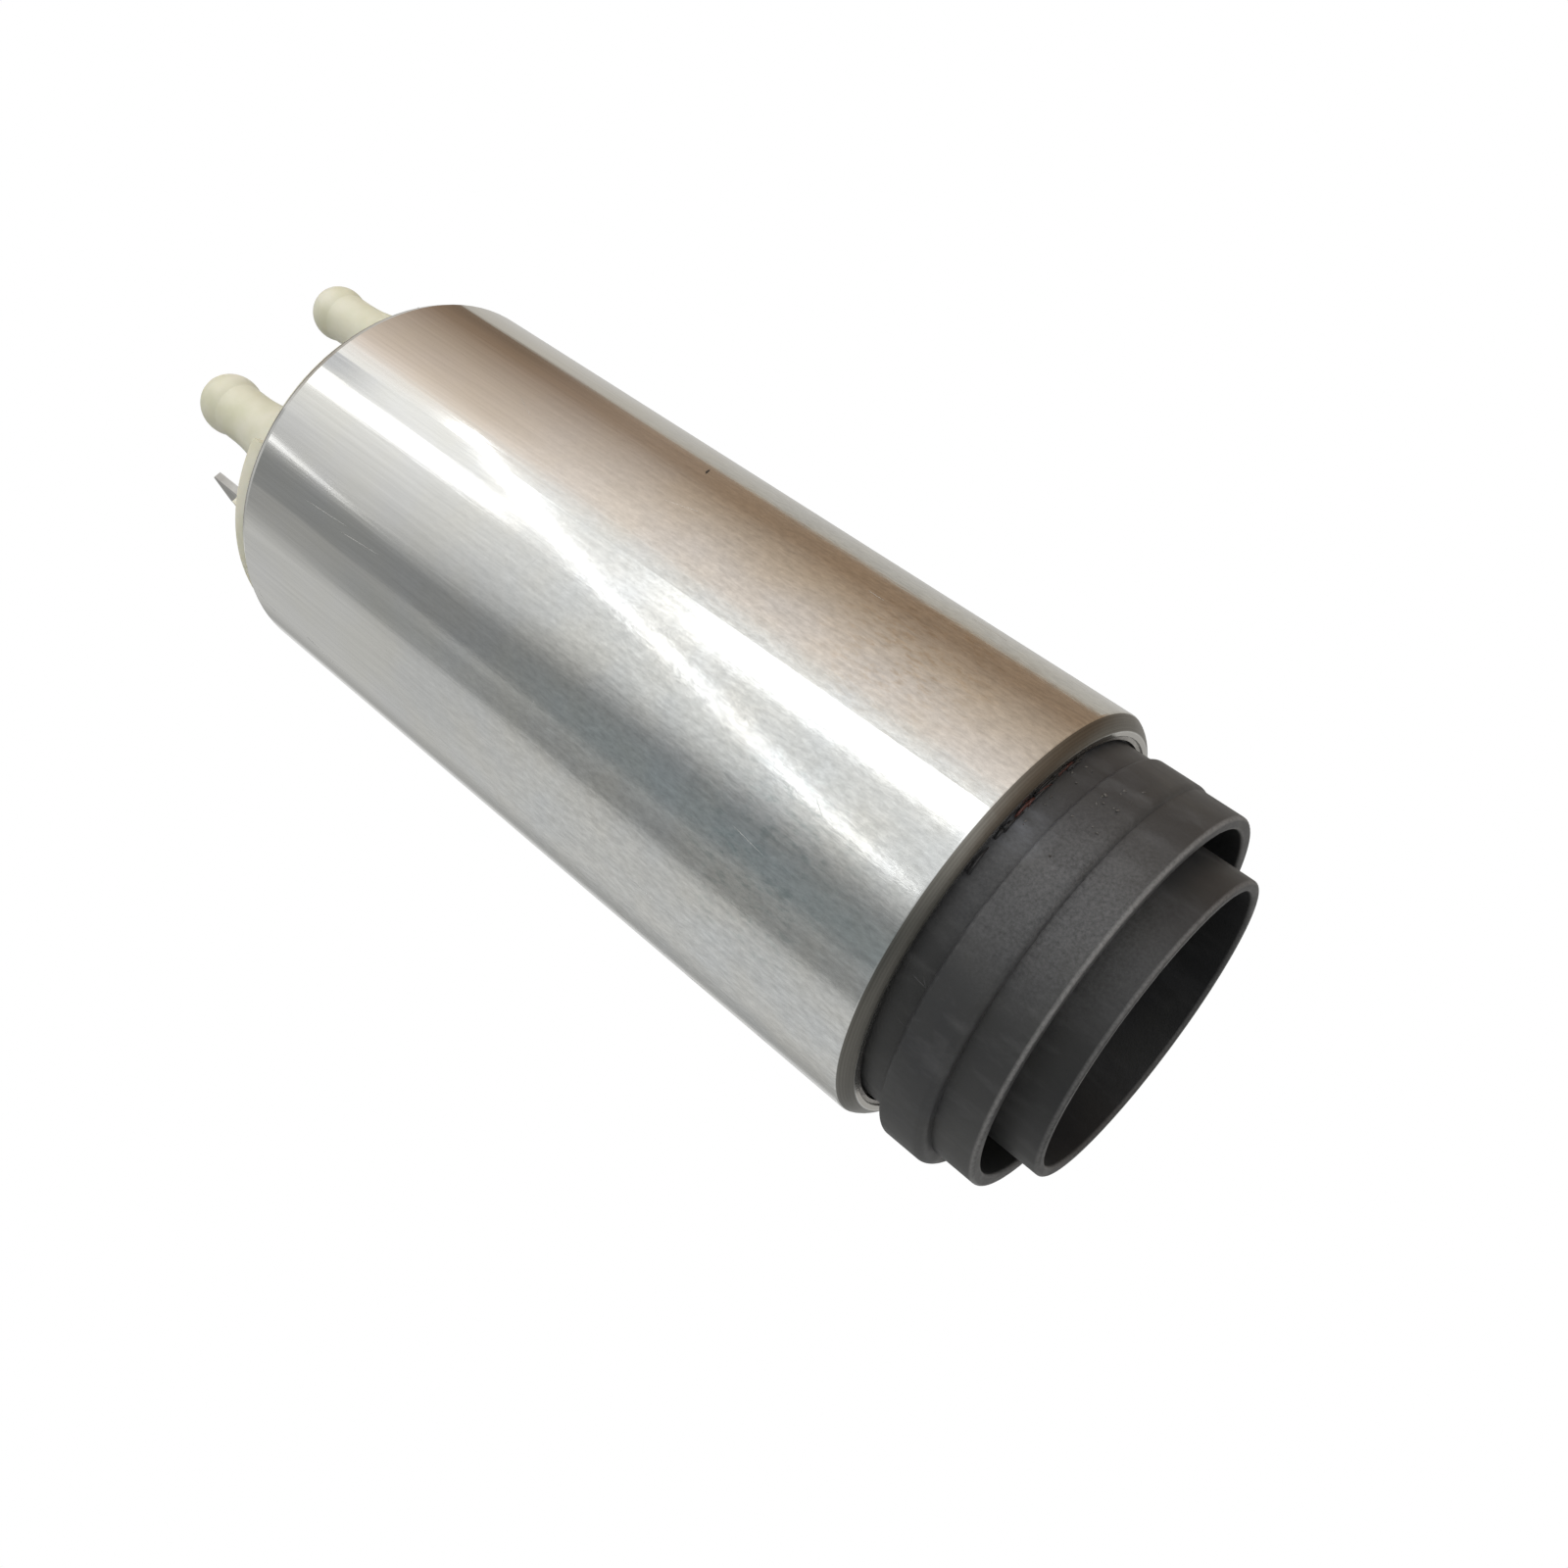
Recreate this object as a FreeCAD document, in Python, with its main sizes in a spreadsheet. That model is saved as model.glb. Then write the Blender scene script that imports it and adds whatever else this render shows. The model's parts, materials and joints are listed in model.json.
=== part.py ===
import FreeCAD
import Part

# Electric in-tank fuel pump, standing on its inlet tube.
# The frame's origin is the centre of the inlet tube's rim, +Z runs along the pump's axis
# towards the outlet, and +X points between the two hose nipples. Lengths are millimetres.

import math
import operator
import os

import Sketcher
from FreeCAD import Rotation, Vector

# Driving sizes in millimetres and degrees, with the counts of what repeats
SIZES = {
    # Shell
    "shell_radius": 21.5,
    "shell_wall": 0.9,
    "shell_length": 84.85,
    "lip_round": 1.65,
    "lip_reach": 1.75,
    "lip_slope_width": 1.2,
    "lip_slope_height": 1.25,
    "lip_slope_round": 2.6,
    "lip_edge_round": 0.12,
    "crimp_height": 0.9,
    "crimp_depth": 0.4,
    # Inlet cap
    "recess_width": 2.67,
    "tube_wall": 1.05,
    "tube_reach": 3.6,
    "cap_floor": 3.0,
    "skirt_step": 0.17,
    "skirt_wall": 1.25,
    "skirt_height": 4.3,
    "skirt_depth": 6.4,
    "rib_rise": 0.95,
    "rib_offset": 0.65,
    "rib_width": 4.65,
    "rib_round": 0.9,
    "neck_gap": 0.65,
    "neck_height": 2.8,
    "cap_flange": 4.7,
    "cap_port_radius": 3.6,
    "cap_port_edge": 0.4,
    "cap_vent_radius": 0.9,
    "rim_round": 0.35,
    "ring_width": 0.38,
    "ring_height": 0.75,
    # Seals and fits
    "stack_gap": 0.05,
    "drop_gap": 0.1,
    "seat_gap": 0.02,
    "running_gap": 0.03,
    "groove_width": 2.0,
    "groove_depth": 1.3,
    "groove_setback": 1.0,
    "cover_groove_setback": 3.0,
    "o_ring_wire": 0.62,
    # Pump stage
    "inlet_plate_height": 4.0,
    "outlet_plate_height": 9.0,
    "casing_wall": 3.55,
    "impeller_height": 3.8,
    "impeller_side_gap": 0.05,
    "impeller_rim_gap": 0.15,
    "vane_length": 3.5,
    "vane_rim": 0.4,
    "vane_thickness": 0.8,
    "vane_depth": 1.6,
    "vane_count": 36,
    "balance_hole_radius": 1.3,
    "balance_hole_setback": 3.5,
    "balance_hole_count": 4,
    "channel_depth": 1.7,
    "channel_angle": 300,
    "port_radius": 2.4,
    "pad_radius": 3.1,
    "pad_height": 1.4,
    "pad_floor": 0.5,
    "bush_radius": 4.0,
    "lower_bush_height": 5.5,
    "collar_radius": 5.2,
    "collar_height": 1.0,
    # Shaft
    "shaft_radius": 2.5,
    "shaft_flat": 0.5,
    "shaft_chamfer": 0.4,
    "shaft_reach": 6.5,
    "washer_radius": 4.1,
    "washer_height": 0.6,
    # Motor field
    "flux_wall": 1.6,
    "magnet_height": 4.0,
    "magnet_overhang": 5.0,
    "magnet_half_angle": 62,
    "clip_thickness": 0.6,
    "clip_setback": 2.0,
    "clip_leg": 2.4,
    "clip_side_gap": 0.3,
    # Armature
    "air_gap": 0.78,
    "winding_drop": 0.4,
    "slot_count": 10,
    "slot_opening": 1.6,
    "slot_lip": 1.0,
    "slot_outer_width": 4.8,
    "slot_inner_width": 1.5,
    "slot_root_radius": 7.0,
    "insulator_height": 0.8,
    "winding_gap": 0.15,
    "end_turn_height": 4.2,
    "end_turn_inner": 4.6,
    "end_turn_setback": 1.5,
    "hub_height": 3.4,
    "hub_radius": 10.0,
    "segment_radius": 10.5,
    "segment_bore": 4.2,
    "segment_height": 3.0,
    "segment_slot": 0.5,
    # Brush gear
    "holder_height": 2.5,
    "commutator_gap": 1.5,
    "brush_circle": 7.4,
    "brush_width": 5.0,
    "brush_depth": 4.6,
    "brush_length": 9.0,
    "brush_gap": 0.08,
    "brush_chamfer": 0.5,
    "well_wall": 1.4,
    "well_height": 12.5,
    "hub_tower_radius": 5.6,
    "upper_bush_height": 6.0,
    "window_radius": 3.2,
    "window_setback": 6.3,
    "cap_plate": 0.6,
    "cap_leg_height": 9.0,
    "choke_setback": 4.25,
    "choke_angle": 53.5,
    "choke_core_radius": 1.5,
    "choke_coil_radius": 2.8,
    "choke_coil_length": 8.5,
    "choke_waist": 0.35,
    "choke_cup_radius": 2.2,
    "choke_cup_height": 1.0,
    "brush_spring_radius": 1.8,
    "brush_spring_wire": 0.25,
    "brush_spring_turns": 5,
    # Outlet cover
    "cover_depth": 15.7,
    "cover_rim": 1.0,
    "cover_edge_round": 0.5,
    "cover_wall": 2.0,
    "key_wall_width": 1.95,
    "key_wall_rise": 1.2,
    "key_wall_start": 130,
    "key_wall_end": 33,
    "cover_plate": 1.8,
    "dome_radius": 6.0,
    "dome_height": 0.9,
    "nipple_setback": 5.15,
    "nipple_angle": 36.65,
    "nipple_height": 17.7,
    "outlet_head_radius": 3.3,
    "outlet_neck_radius": 3.0,
    "outlet_bore_radius": 1.7,
    "outlet_chamber_radius": 3.5,
    "relief_head_radius": 2.95,
    "relief_neck_radius": 2.7,
    "relief_bore_radius": 1.4,
    "relief_chamber_radius": 3.0,
    "foot_radius": 6.2,
    "foot_round": 20,
    "neck_drop": 6.4,
    "chamber_wall": 1.1,
    "chamber_depth": 9.4,
    "chamber_roof": 0.2,
    "collar_wall": 1.1,
    "collar_rise": 4.6,
    # Terminals
    "terminal_x": 6.1,
    "terminal_setback": 3.95,
    "blade_width": 4.8,
    "blade_thickness": 0.8,
    "blade_rise": 6.2,
    "blade_taper": 0.5,
    "foot_plate_width": 2.6,
    # Valves
    "valve_seat_height": 2.0,
    "check_seat_bore": 2.0,
    "poppet_radius": 2.9,
    "poppet_height": 1.1,
    "poppet_stem_radius": 0.9,
    "poppet_stem_height": 4.2,
    "seal_height": 0.5,
    "seal_bore": 1.2,
    "check_spring_radius": 2.2,
    "check_spring_wire": 0.25,
    "check_spring_turns": 4,
    "relief_seat_bore": 1.6,
    "ball_radius": 2.2,
    "relief_spring_radius": 1.6,
    "relief_spring_wire": 0.22,
    "relief_spring_turns": 4,
}

CHOKE_TURNS = 6
WIRE_SIDES = 8
OPERATIONS = {"+": operator.add, "-": operator.sub, "*": operator.mul, "/": operator.truediv}


class Size:
    """A length, angle or count known both as a number and as the sheet formula behind it."""

    def __init__(self, number, formula):
        self.number = float(number)
        self.formula = formula

    def __add__(self, other):
        return combined(self, "+", other)

    def __radd__(self, other):
        return combined(other, "+", self)

    def __sub__(self, other):
        return combined(self, "-", other)

    def __rsub__(self, other):
        return combined(other, "-", self)

    def __mul__(self, other):
        return combined(self, "*", other)

    def __rmul__(self, other):
        return combined(other, "*", self)

    def __truediv__(self, other):
        return combined(self, "/", other)

    def __neg__(self):
        return combined(0, "-", self)


def as_size(value):
    if isinstance(value, Size):
        return value
    return Size(value, f"({float(value)!r})")


def combined(left, sign, right):
    left = as_size(left)
    right = as_size(right)
    number = OPERATIONS[sign](left.number, right.number)
    return Size(number, f"({left.formula} {sign} {right.formula})")


def cosine(angle):
    angle = as_size(angle)
    return Size(math.cos(math.radians(angle.number)), f"cos({angle.formula})")


def sine(angle):
    angle = as_size(angle)
    return Size(math.sin(math.radians(angle.number)), f"sin({angle.formula})")


def root_of_difference(long_side, short_side):
    """Other leg of a right triangle with the given hypotenuse and leg."""
    number = math.sqrt(long_side.number ** 2 - short_side.number ** 2)
    formula = f"sqrt({long_side.formula}^2 - {short_side.formula}^2)"
    return Size(number, formula)


class Sizes:
    """The spreadsheet's cells as attributes, each one a Size."""

    def __init__(self, document):
        sheet = document.addObject("Spreadsheet::Sheet", "Sizes")
        for row, (alias, number) in enumerate(SIZES.items(), 1):
            sheet.set(f"A{row}", alias.replace("_", " "))
            sheet.set(f"B{row}", str(number))
            sheet.setAlias(f"B{row}", alias)
            setattr(self, alias, Size(number, f"Sizes.{alias}"))
        document.recompute()


doc = FreeCAD.newDocument("fuel_pump")
S = Sizes(doc)
NODES = []

# Radii and places that several pieces share
shell_bore = S.shell_radius - S.shell_wall
fitted_radius = shell_bore - S.stack_gap
stack_radius = shell_bore - S.drop_gap
lip_bore = S.shell_radius - S.lip_reach
neck_radius = lip_bore - S.neck_gap
rib_radius = neck_radius + S.rib_rise
skirt_radius = neck_radius + S.skirt_step
skirt_bore = skirt_radius - S.skirt_wall
tube_radius = skirt_bore - S.recess_width
tube_bore = tube_radius - S.tube_wall
impeller_radius = stack_radius - S.casing_wall - S.impeller_rim_gap
vane_inner = impeller_radius - S.vane_rim - S.vane_length
channel_radius = vane_inner + S.vane_length / 2
balance_circle = vane_inner - S.balance_hole_setback
magnet_outer = stack_radius - S.flux_wall - S.seat_gap
magnet_inner = magnet_outer - S.magnet_height
core_radius = magnet_inner - S.air_gap
end_turn_outer = core_radius - S.end_turn_setback
window_circle = stack_radius - S.window_setback
cover_inner = fitted_radius - S.cover_wall
choke_x = (cover_inner - S.choke_setback) * cosine(S.choke_angle)
choke_y = (cover_inner - S.choke_setback) * sine(S.choke_angle)
nipple_x = (cover_inner - S.nipple_setback) * cosine(S.nipple_angle)
nipple_y = (cover_inner - S.nipple_setback) * sine(S.nipple_angle)
terminal_y = cover_inner - S.terminal_setback

# Heights along the axis, counted from the inlet tube's rim
skirt_rim = S.tube_reach
rib_bottom = skirt_rim + S.skirt_height
rib_top = rib_bottom + S.rib_width
lip_bottom = rib_top + S.neck_height
lip_seat = lip_bottom + S.shell_wall + S.stack_gap
cap_top = lip_seat + S.cap_flange
tube_end = cap_top - S.cap_floor
inlet_plate_top = cap_top + S.inlet_plate_height
outlet_plate_top = inlet_plate_top + S.outlet_plate_height
collar_top = outlet_plate_top + S.collar_height
shell_top = lip_bottom + S.shell_length
holder_top = shell_top - S.cover_depth
holder_bottom = holder_top - S.holder_height
commutator_top = holder_bottom - S.commutator_gap
segment_bottom = commutator_top - S.segment_height
hub_bottom = segment_bottom - S.hub_height
winding_top = hub_bottom - S.stack_gap
core_top = winding_top - S.end_turn_height - S.insulator_height
winding_bottom = collar_top + S.stack_gap + S.washer_height + S.winding_drop
core_bottom = winding_bottom + S.end_turn_height + S.insulator_height
core_length = core_top - core_bottom
well_top = holder_top + S.well_height
cover_face = shell_top + S.cover_rim
plate_bottom = cover_face - S.cover_plate
chamber_bottom = plate_bottom - S.chamber_depth
chamber_top = cover_face - S.chamber_roof
nipple_top = cover_face + S.nipple_height


def new_body(label, compound=False):
    body = doc.addObject("PartDesign::Body", label)
    body.Label = label
    if compound:
        body.AllowCompound = True
    NODES.append(body)
    return body


def origin_feature(body, role):
    for feature in body.Origin.OriginFeatures:
        if feature.Role == role:
            return feature
    raise ValueError(f"{body.Label} has no {role}")


def new_sketch(body, name, plane, offset):
    sketch = body.newObject("Sketcher::SketchObject", name)
    sketch.AttachmentSupport = [(origin_feature(body, plane), "")]
    sketch.MapMode = "FlatFace"
    for axis, size in zip("xyz", offset):
        sketch.setExpression(f"AttachmentOffset.Base.{axis}", as_size(size).formula)
    return sketch


def arc_between(start, end, radius):
    """Arc from start to end: counter-clockwise for a positive radius, else clockwise."""
    chord = end - start
    middle = (start + end) * 0.5
    side = Vector(-chord.y, chord.x, 0).normalize()
    reach = math.sqrt(max(radius ** 2 - (chord.Length / 2) ** 2, 0))
    centre = middle + side * math.copysign(reach, radius)
    first, last = (start, end) if radius > 0 else (end, start)
    angles = [math.atan2(point.y - centre.y, point.x - centre.x) for point in (first, last)]
    circle = Part.Circle(centre, Vector(0, 0, 1), abs(radius))
    return Part.ArcOfCircle(circle, *angles)


def pin_point(sketch, geometry, position, x, y):
    """Holds one sketch point at x and y, each bound to its sheet formula."""
    for kind, axis, size in (("DistanceX", -2, as_size(x)), ("DistanceY", -1, as_size(y))):
        if size.number == 0:
            sketch.addConstraint(Sketcher.Constraint("PointOnObject", geometry, position, axis))
            continue
        constraint = Sketcher.Constraint(kind, -1, 1, geometry, position, size.number)
        index = sketch.addConstraint(constraint)
        sketch.setExpression(f"Constraints[{index}]", size.formula)


def outline(body, name, points, plane="XZ_Plane", offset=(0, 0, 0)):
    """Closed outline. A point's third value rounds the way to the next point to that radius."""
    sketch = new_sketch(body, name, plane, offset)
    spots = [Vector(as_size(point[0]).number, as_size(point[1]).number, 0) for point in points]
    ends = []
    for index, point in enumerate(points):
        start = spots[index]
        end = spots[(index + 1) % len(points)]
        if len(point) == 2:
            sketch.addGeometry(Part.LineSegment(start, end))
            ends.append((1, 2))
            continue
        radius = as_size(point[2])
        sketch.addGeometry(arc_between(start, end, radius.number))
        ends.append((1, 2) if radius.number > 0 else (2, 1))
    for index, point in enumerate(points):
        after = (index + 1) % len(points)
        joint = Sketcher.Constraint("Coincident", index, ends[index][1], after, ends[after][0])
        sketch.addConstraint(joint)
        pin_point(sketch, index, ends[index][0], point[0], point[1])
        if len(point) == 3:
            radius = as_size(point[2])
            if radius.number < 0:
                radius = -radius
            bound = sketch.addConstraint(Sketcher.Constraint("Radius", index, radius.number))
            sketch.setExpression(f"Constraints[{bound}]", radius.formula)
    return sketch


def disc(body, name, centre, radius, height):
    """Circle on a level plane at the given height."""
    sketch = new_sketch(body, name, "XY_Plane", (0, 0, height))
    middle = Vector(as_size(centre[0]).number, as_size(centre[1]).number, 0)
    sketch.addGeometry(Part.Circle(middle, Vector(0, 0, 1), radius.number))
    pin_point(sketch, 0, 3, centre[0], centre[1])
    index = sketch.addConstraint(Sketcher.Constraint("Radius", 0, radius.number))
    sketch.setExpression(f"Constraints[{index}]", radius.formula)
    return sketch


def rectangle_points(centre, width, depth):
    x, y = centre
    return [(x - width / 2, y - depth / 2), (x + width / 2, y - depth / 2),
            (x + width / 2, y + depth / 2), (x - width / 2, y + depth / 2)]


def block(body, name, centre, width, depth, height):
    """Rectangle on a level plane at the given height."""
    points = rectangle_points(centre, width, depth)
    return outline(body, name, points, "XY_Plane", (0, 0, height))


def revolve(body, name, points, place=(0, 0), cut=False, angle=None):
    """Turns an outline of (radius, height) points about the upright line through place."""
    sketch = outline(body, f"{name}_outline", points, "XZ_Plane", (place[0], 0, -as_size(place[1])))
    feature = body.newObject("PartDesign::Groove" if cut else "PartDesign::Revolution", name)
    feature.Profile = sketch
    feature.ReferenceAxis = (sketch, ["V_Axis"])
    feature.Angle = 360.0
    if angle is not None:
        feature.setExpression("Angle", angle.formula)
        feature.Midplane = True
    return feature


def extrude(body, name, sketch, length, cut=False, reverse=False):
    """Pads a sketch upwards, or pockets it downwards; reverse turns either way round."""
    feature = body.newObject("PartDesign::Pocket" if cut else "PartDesign::Pad", name)
    feature.Profile = sketch
    feature.setExpression("Length", length.formula)
    feature.Reversed = reverse
    return feature


def repeat_round(body, name, feature, count):
    """Copies a feature evenly round the pump's axis."""
    pattern = body.newObject("PartDesign::PolarPattern", name)
    pattern.Originals = [feature]
    pattern.Axis = (origin_feature(body, "Z_Axis"), [""])
    pattern.Angle = 360.0
    pattern.setExpression("Occurrences", count.formula)
    body.Tip = pattern
    return pattern


def round_rims(body, name, radius, rims):
    """Rounds the circular edges with the given (radius, height) about the pump's axis."""
    doc.recompute()
    base = body.Tip
    edges = []
    for index, edge in enumerate(base.Shape.Edges, 1):
        if not isinstance(edge.Curve, Part.Circle):
            continue
        for rim_radius, height in rims:
            same_radius = abs(edge.Curve.Radius - rim_radius.number) < 1e-4
            if same_radius and abs(edge.Curve.Center.z - as_size(height).number) < 1e-4:
                edges.append(f"Edge{index}")
    fillet = body.newObject("PartDesign::Fillet", name)
    fillet.Base = (base, edges)
    fillet.setExpression("Radius", radius.formula)
    return fillet


def place_at(thing, x, y, z):
    for axis, size in zip("xyz", (x, y, z)):
        thing.setExpression(f"Placement.Base.{axis}", as_size(size).formula)


def ring(label, ring_radius, wire_radius, height):
    """Round-section ring about the pump's axis."""
    torus = doc.addObject("Part::Torus", label)
    torus.Label = label
    torus.setExpression("Radius1", ring_radius.formula)
    torus.setExpression("Radius2", wire_radius.formula)
    place_at(torus, 0, 0, height)
    NODES.append(torus)


def coil_spring(label, centre, low, high, coil_radius, wire, turns):
    """Compression spring with ends ground flat at low and high, its wire drawn eight-sided."""
    x, y = centre
    height = high - low
    pitch = height / turns
    path = doc.addObject("Part::Helix", f"{label}_path")
    path.setExpression("Radius", coil_radius.formula)
    path.setExpression("Height", (height + pitch / 2).formula)
    path.setExpression("Pitch", pitch.formula)
    place_at(path, 0, 0, -pitch / 4)
    section = doc.addObject("Part::RegularPolygon", f"{label}_wire")
    section.Polygon = WIRE_SIDES
    section.setExpression("Circumradius", wire.formula)
    section.Placement.Rotation = Rotation(Vector(1, 0, 0), 90)
    place_at(section, coil_radius, 0, -pitch / 4)
    sweep = doc.addObject("Part::Sweep", f"{label}_turns")
    sweep.Sections = [section]
    sweep.Spine = (path, ["Edge1"])
    sweep.Solid = True
    sweep.Frenet = True
    envelope = doc.addObject("Part::Cylinder", f"{label}_ends")
    envelope.setExpression("Radius", (coil_radius + wire * 2).formula)
    envelope.setExpression("Height", height.formula)
    spring = doc.addObject("Part::Common", label)
    spring.Base = sweep
    spring.Tool = envelope
    spring.Label = label
    place_at(spring, x, y, low)
    NODES.append(spring)


def shell():
    """Drawn can: inlet end rolled inwards to a sloped lip, outlet end swaged over the cover."""
    body = new_body("shell")
    radius = S.shell_radius
    inner_round = S.lip_round - S.shell_wall
    round_radius = radius - S.lip_round
    slope_start = radius - S.lip_slope_width
    slope_top = lip_bottom + S.lip_slope_height
    crimp_start = shell_top - S.crimp_height
    revolve(body, "shell_wall", [
        (lip_bore, lip_bottom),
        (slope_start, lip_bottom, S.lip_slope_round),
        (radius, slope_top),
        (radius, crimp_start),
        (radius - S.crimp_depth, shell_top),
        (shell_bore - S.crimp_depth, shell_top),
        (shell_bore, crimp_start),
        (shell_bore, lip_bottom + S.lip_round, -inner_round),
        (round_radius, lip_bottom + S.shell_wall),
        (lip_bore, lip_bottom + S.shell_wall),
    ])
    round_rims(body, "lip_edges", S.lip_edge_round, [
        (radius, slope_top), (slope_start, lip_bottom), (lip_bore, lip_bottom),
    ])


def retaining_ring():
    """Thin metal ring under the cap's flange, seated in the lip's bore."""
    body = new_body("retaining_ring")
    outer = lip_bore - S.seat_gap
    inner = outer - S.ring_width
    revolve(body, "ring_band", [
        (inner, lip_seat - S.ring_height),
        (outer, lip_seat - S.ring_height),
        (outer, lip_seat),
        (inner, lip_seat),
    ])


def seal_groove(bottom, wall_radius):
    """Outline points of an O-ring groove that starts at the height bottom."""
    root = wall_radius - S.groove_depth
    return [(wall_radius, bottom), (root, bottom),
            (root, bottom + S.groove_width), (wall_radius, bottom + S.groove_width)]


def inlet_cap():
    """Black moulding: inlet tube inside a skirt, off-centre rib, neck and clamped flange."""
    body = new_body("inlet_cap")
    recess_floor = skirt_rim + S.skirt_depth
    bevel = S.lip_round - S.shell_wall
    groove = cap_top - S.groove_setback - S.groove_width
    revolve(body, "cap_wall", [
        (0, 0),
        (tube_radius, 0),
        (tube_radius, skirt_rim),
        (skirt_radius, skirt_rim),
        (skirt_radius, rib_top),
        (neck_radius, rib_top),
        (neck_radius, lip_seat),
        (fitted_radius - bevel, lip_seat),
        (fitted_radius, lip_seat + bevel),
    ] + seal_groove(groove, fitted_radius) + [
        (fitted_radius, cap_top),
        (0, cap_top),
    ])
    rib = disc(body, "rib_circle", (0, -S.rib_offset), rib_radius, rib_bottom)
    extrude(body, "rib_disc", rib, S.rib_width)
    revolve(body, "tube_bore", [
        (0, 0), (tube_bore, 0), (tube_bore, tube_end), (0, tube_end),
    ], cut=True)
    revolve(body, "skirt_recess", [
        (tube_radius, skirt_rim), (skirt_bore, skirt_rim),
        (skirt_bore, recess_floor), (tube_radius, recess_floor),
    ], cut=True)
    port_x = S.cap_port_radius + S.cap_port_edge - tube_bore
    floor_port = disc(body, "port_circle", (port_x, 0), S.cap_port_radius, cap_top)
    extrude(body, "inlet_port", floor_port, cap_top - tube_end, cut=True)
    vent = disc(body, "vent_circle", (balance_circle, 0), S.cap_vent_radius, cap_top)
    extrude(body, "vapour_vent", vent, cap_top - tube_end, cut=True)
    round_rims(body, "rib_rounding", S.rib_round, [(rib_radius, rib_bottom)])
    round_rims(body, "rib_shoulder", S.rib_round / 2, [(rib_radius, rib_top)])
    round_rims(body, "rim_rounding", S.rim_round, [
        (tube_radius, 0), (tube_bore, 0),
        (skirt_radius, skirt_rim), (skirt_bore, skirt_rim),
    ])


def channel_points(height, side):
    """Half-round side channel below (side -1) or above (side 1) a level face."""
    depth = S.channel_depth
    inner = channel_radius - depth
    outer = channel_radius + depth
    first, last = (inner, outer) if side < 0 else (outer, inner)
    return [(first, height, depth), (channel_radius, height + depth * side, depth),
            (last, height)]


def inlet_plate():
    """Lower pump casing: side channel in its top face, inlet port and thrust pad seat."""
    body = new_body("inlet_plate")
    extrude(body, "plate", disc(body, "plate_circle", (0, 0), stack_radius, cap_top),
            S.inlet_plate_height)
    revolve(body, "side_channel", channel_points(inlet_plate_top, -1), cut=True,
            angle=S.channel_angle)
    port = disc(body, "port_circle", (-channel_radius + S.port_radius, 0), S.port_radius,
                inlet_plate_top)
    extrude(body, "inlet_port", port, S.inlet_plate_height, cut=True)
    pad_hole = disc(body, "pad_circle", (0, 0), S.pad_radius + S.seat_gap, inlet_plate_top)
    extrude(body, "pad_seat", pad_hole, S.inlet_plate_height - S.pad_floor, cut=True)


def thrust_pad():
    """Hard button that the shaft's lower end runs on."""
    body = new_body("thrust_pad")
    base = disc(body, "pad_circle", (0, 0), S.pad_radius, cap_top + S.pad_floor)
    extrude(body, "pad", base, S.pad_height)


def outlet_plate():
    """Upper pump casing: impeller chamber, side channel, outlet port and bush collar."""
    body = new_body("outlet_plate")
    chamber_roof = inlet_plate_top + S.impeller_height + S.impeller_side_gap * 2
    chamber_radius = impeller_radius + S.impeller_rim_gap
    extrude(body, "plate", disc(body, "plate_circle", (0, 0), stack_radius, inlet_plate_top),
            S.outlet_plate_height)
    collar = disc(body, "collar_circle", (0, 0), S.collar_radius, outlet_plate_top)
    extrude(body, "bush_collar", collar, S.collar_height)
    chamber = disc(body, "chamber_circle", (0, 0), chamber_radius, inlet_plate_top)
    extrude(body, "impeller_chamber", chamber, chamber_roof - inlet_plate_top, cut=True,
            reverse=True)
    revolve(body, "side_channel", channel_points(chamber_roof, 1), cut=True,
            angle=S.channel_angle)
    port = disc(body, "port_circle", (-channel_radius + S.port_radius, 0), S.port_radius,
                outlet_plate_top)
    extrude(body, "outlet_port", port, outlet_plate_top - chamber_roof, cut=True)
    bush_hole = disc(body, "bush_circle", (0, 0), S.bush_radius + S.seat_gap, collar_top)
    extrude(body, "bush_seat", bush_hole, S.lower_bush_height, cut=True)
    bore = disc(body, "bore_circle", (0, 0), S.shaft_radius + S.running_gap * 2,
                outlet_plate_top)
    extrude(body, "shaft_bore", bore, outlet_plate_top - chamber_roof, cut=True)


def bush(label, bottom, height):
    """Plain bearing sleeve about the shaft."""
    body = new_body(label)
    inner = S.shaft_radius + S.running_gap
    revolve(body, "sleeve", [
        (inner, bottom), (S.bush_radius, bottom),
        (S.bush_radius, bottom + height), (inner, bottom + height),
    ])


def flat_points(radius, cut_depth):
    """Points of a large rectangle beyond the flat of a D-shaped section."""
    face = radius - cut_depth
    return [(face, -radius * 2), (radius * 2, -radius * 2),
            (radius * 2, radius * 2), (face, radius * 2)]


def shaft():
    """Ground steel shaft with a flat that drives the impeller."""
    body = new_body("shaft")
    bottom = cap_top + S.pad_floor + S.pad_height + S.stack_gap
    top = holder_top + S.shaft_reach
    radius = S.shaft_radius
    tip = radius - S.shaft_chamfer
    revolve(body, "shaft_bar", [
        (0, bottom), (tip, bottom), (radius, bottom + S.shaft_chamfer),
        (radius, top - S.shaft_chamfer), (tip, top), (0, top),
    ])
    flat_top = inlet_plate_top + S.impeller_side_gap + S.impeller_height
    flat = outline(body, "flat_outline", flat_points(radius, S.shaft_flat), "XY_Plane",
                   (0, 0, flat_top))
    extrude(body, "drive_flat", flat, flat_top - bottom, cut=True)


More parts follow.
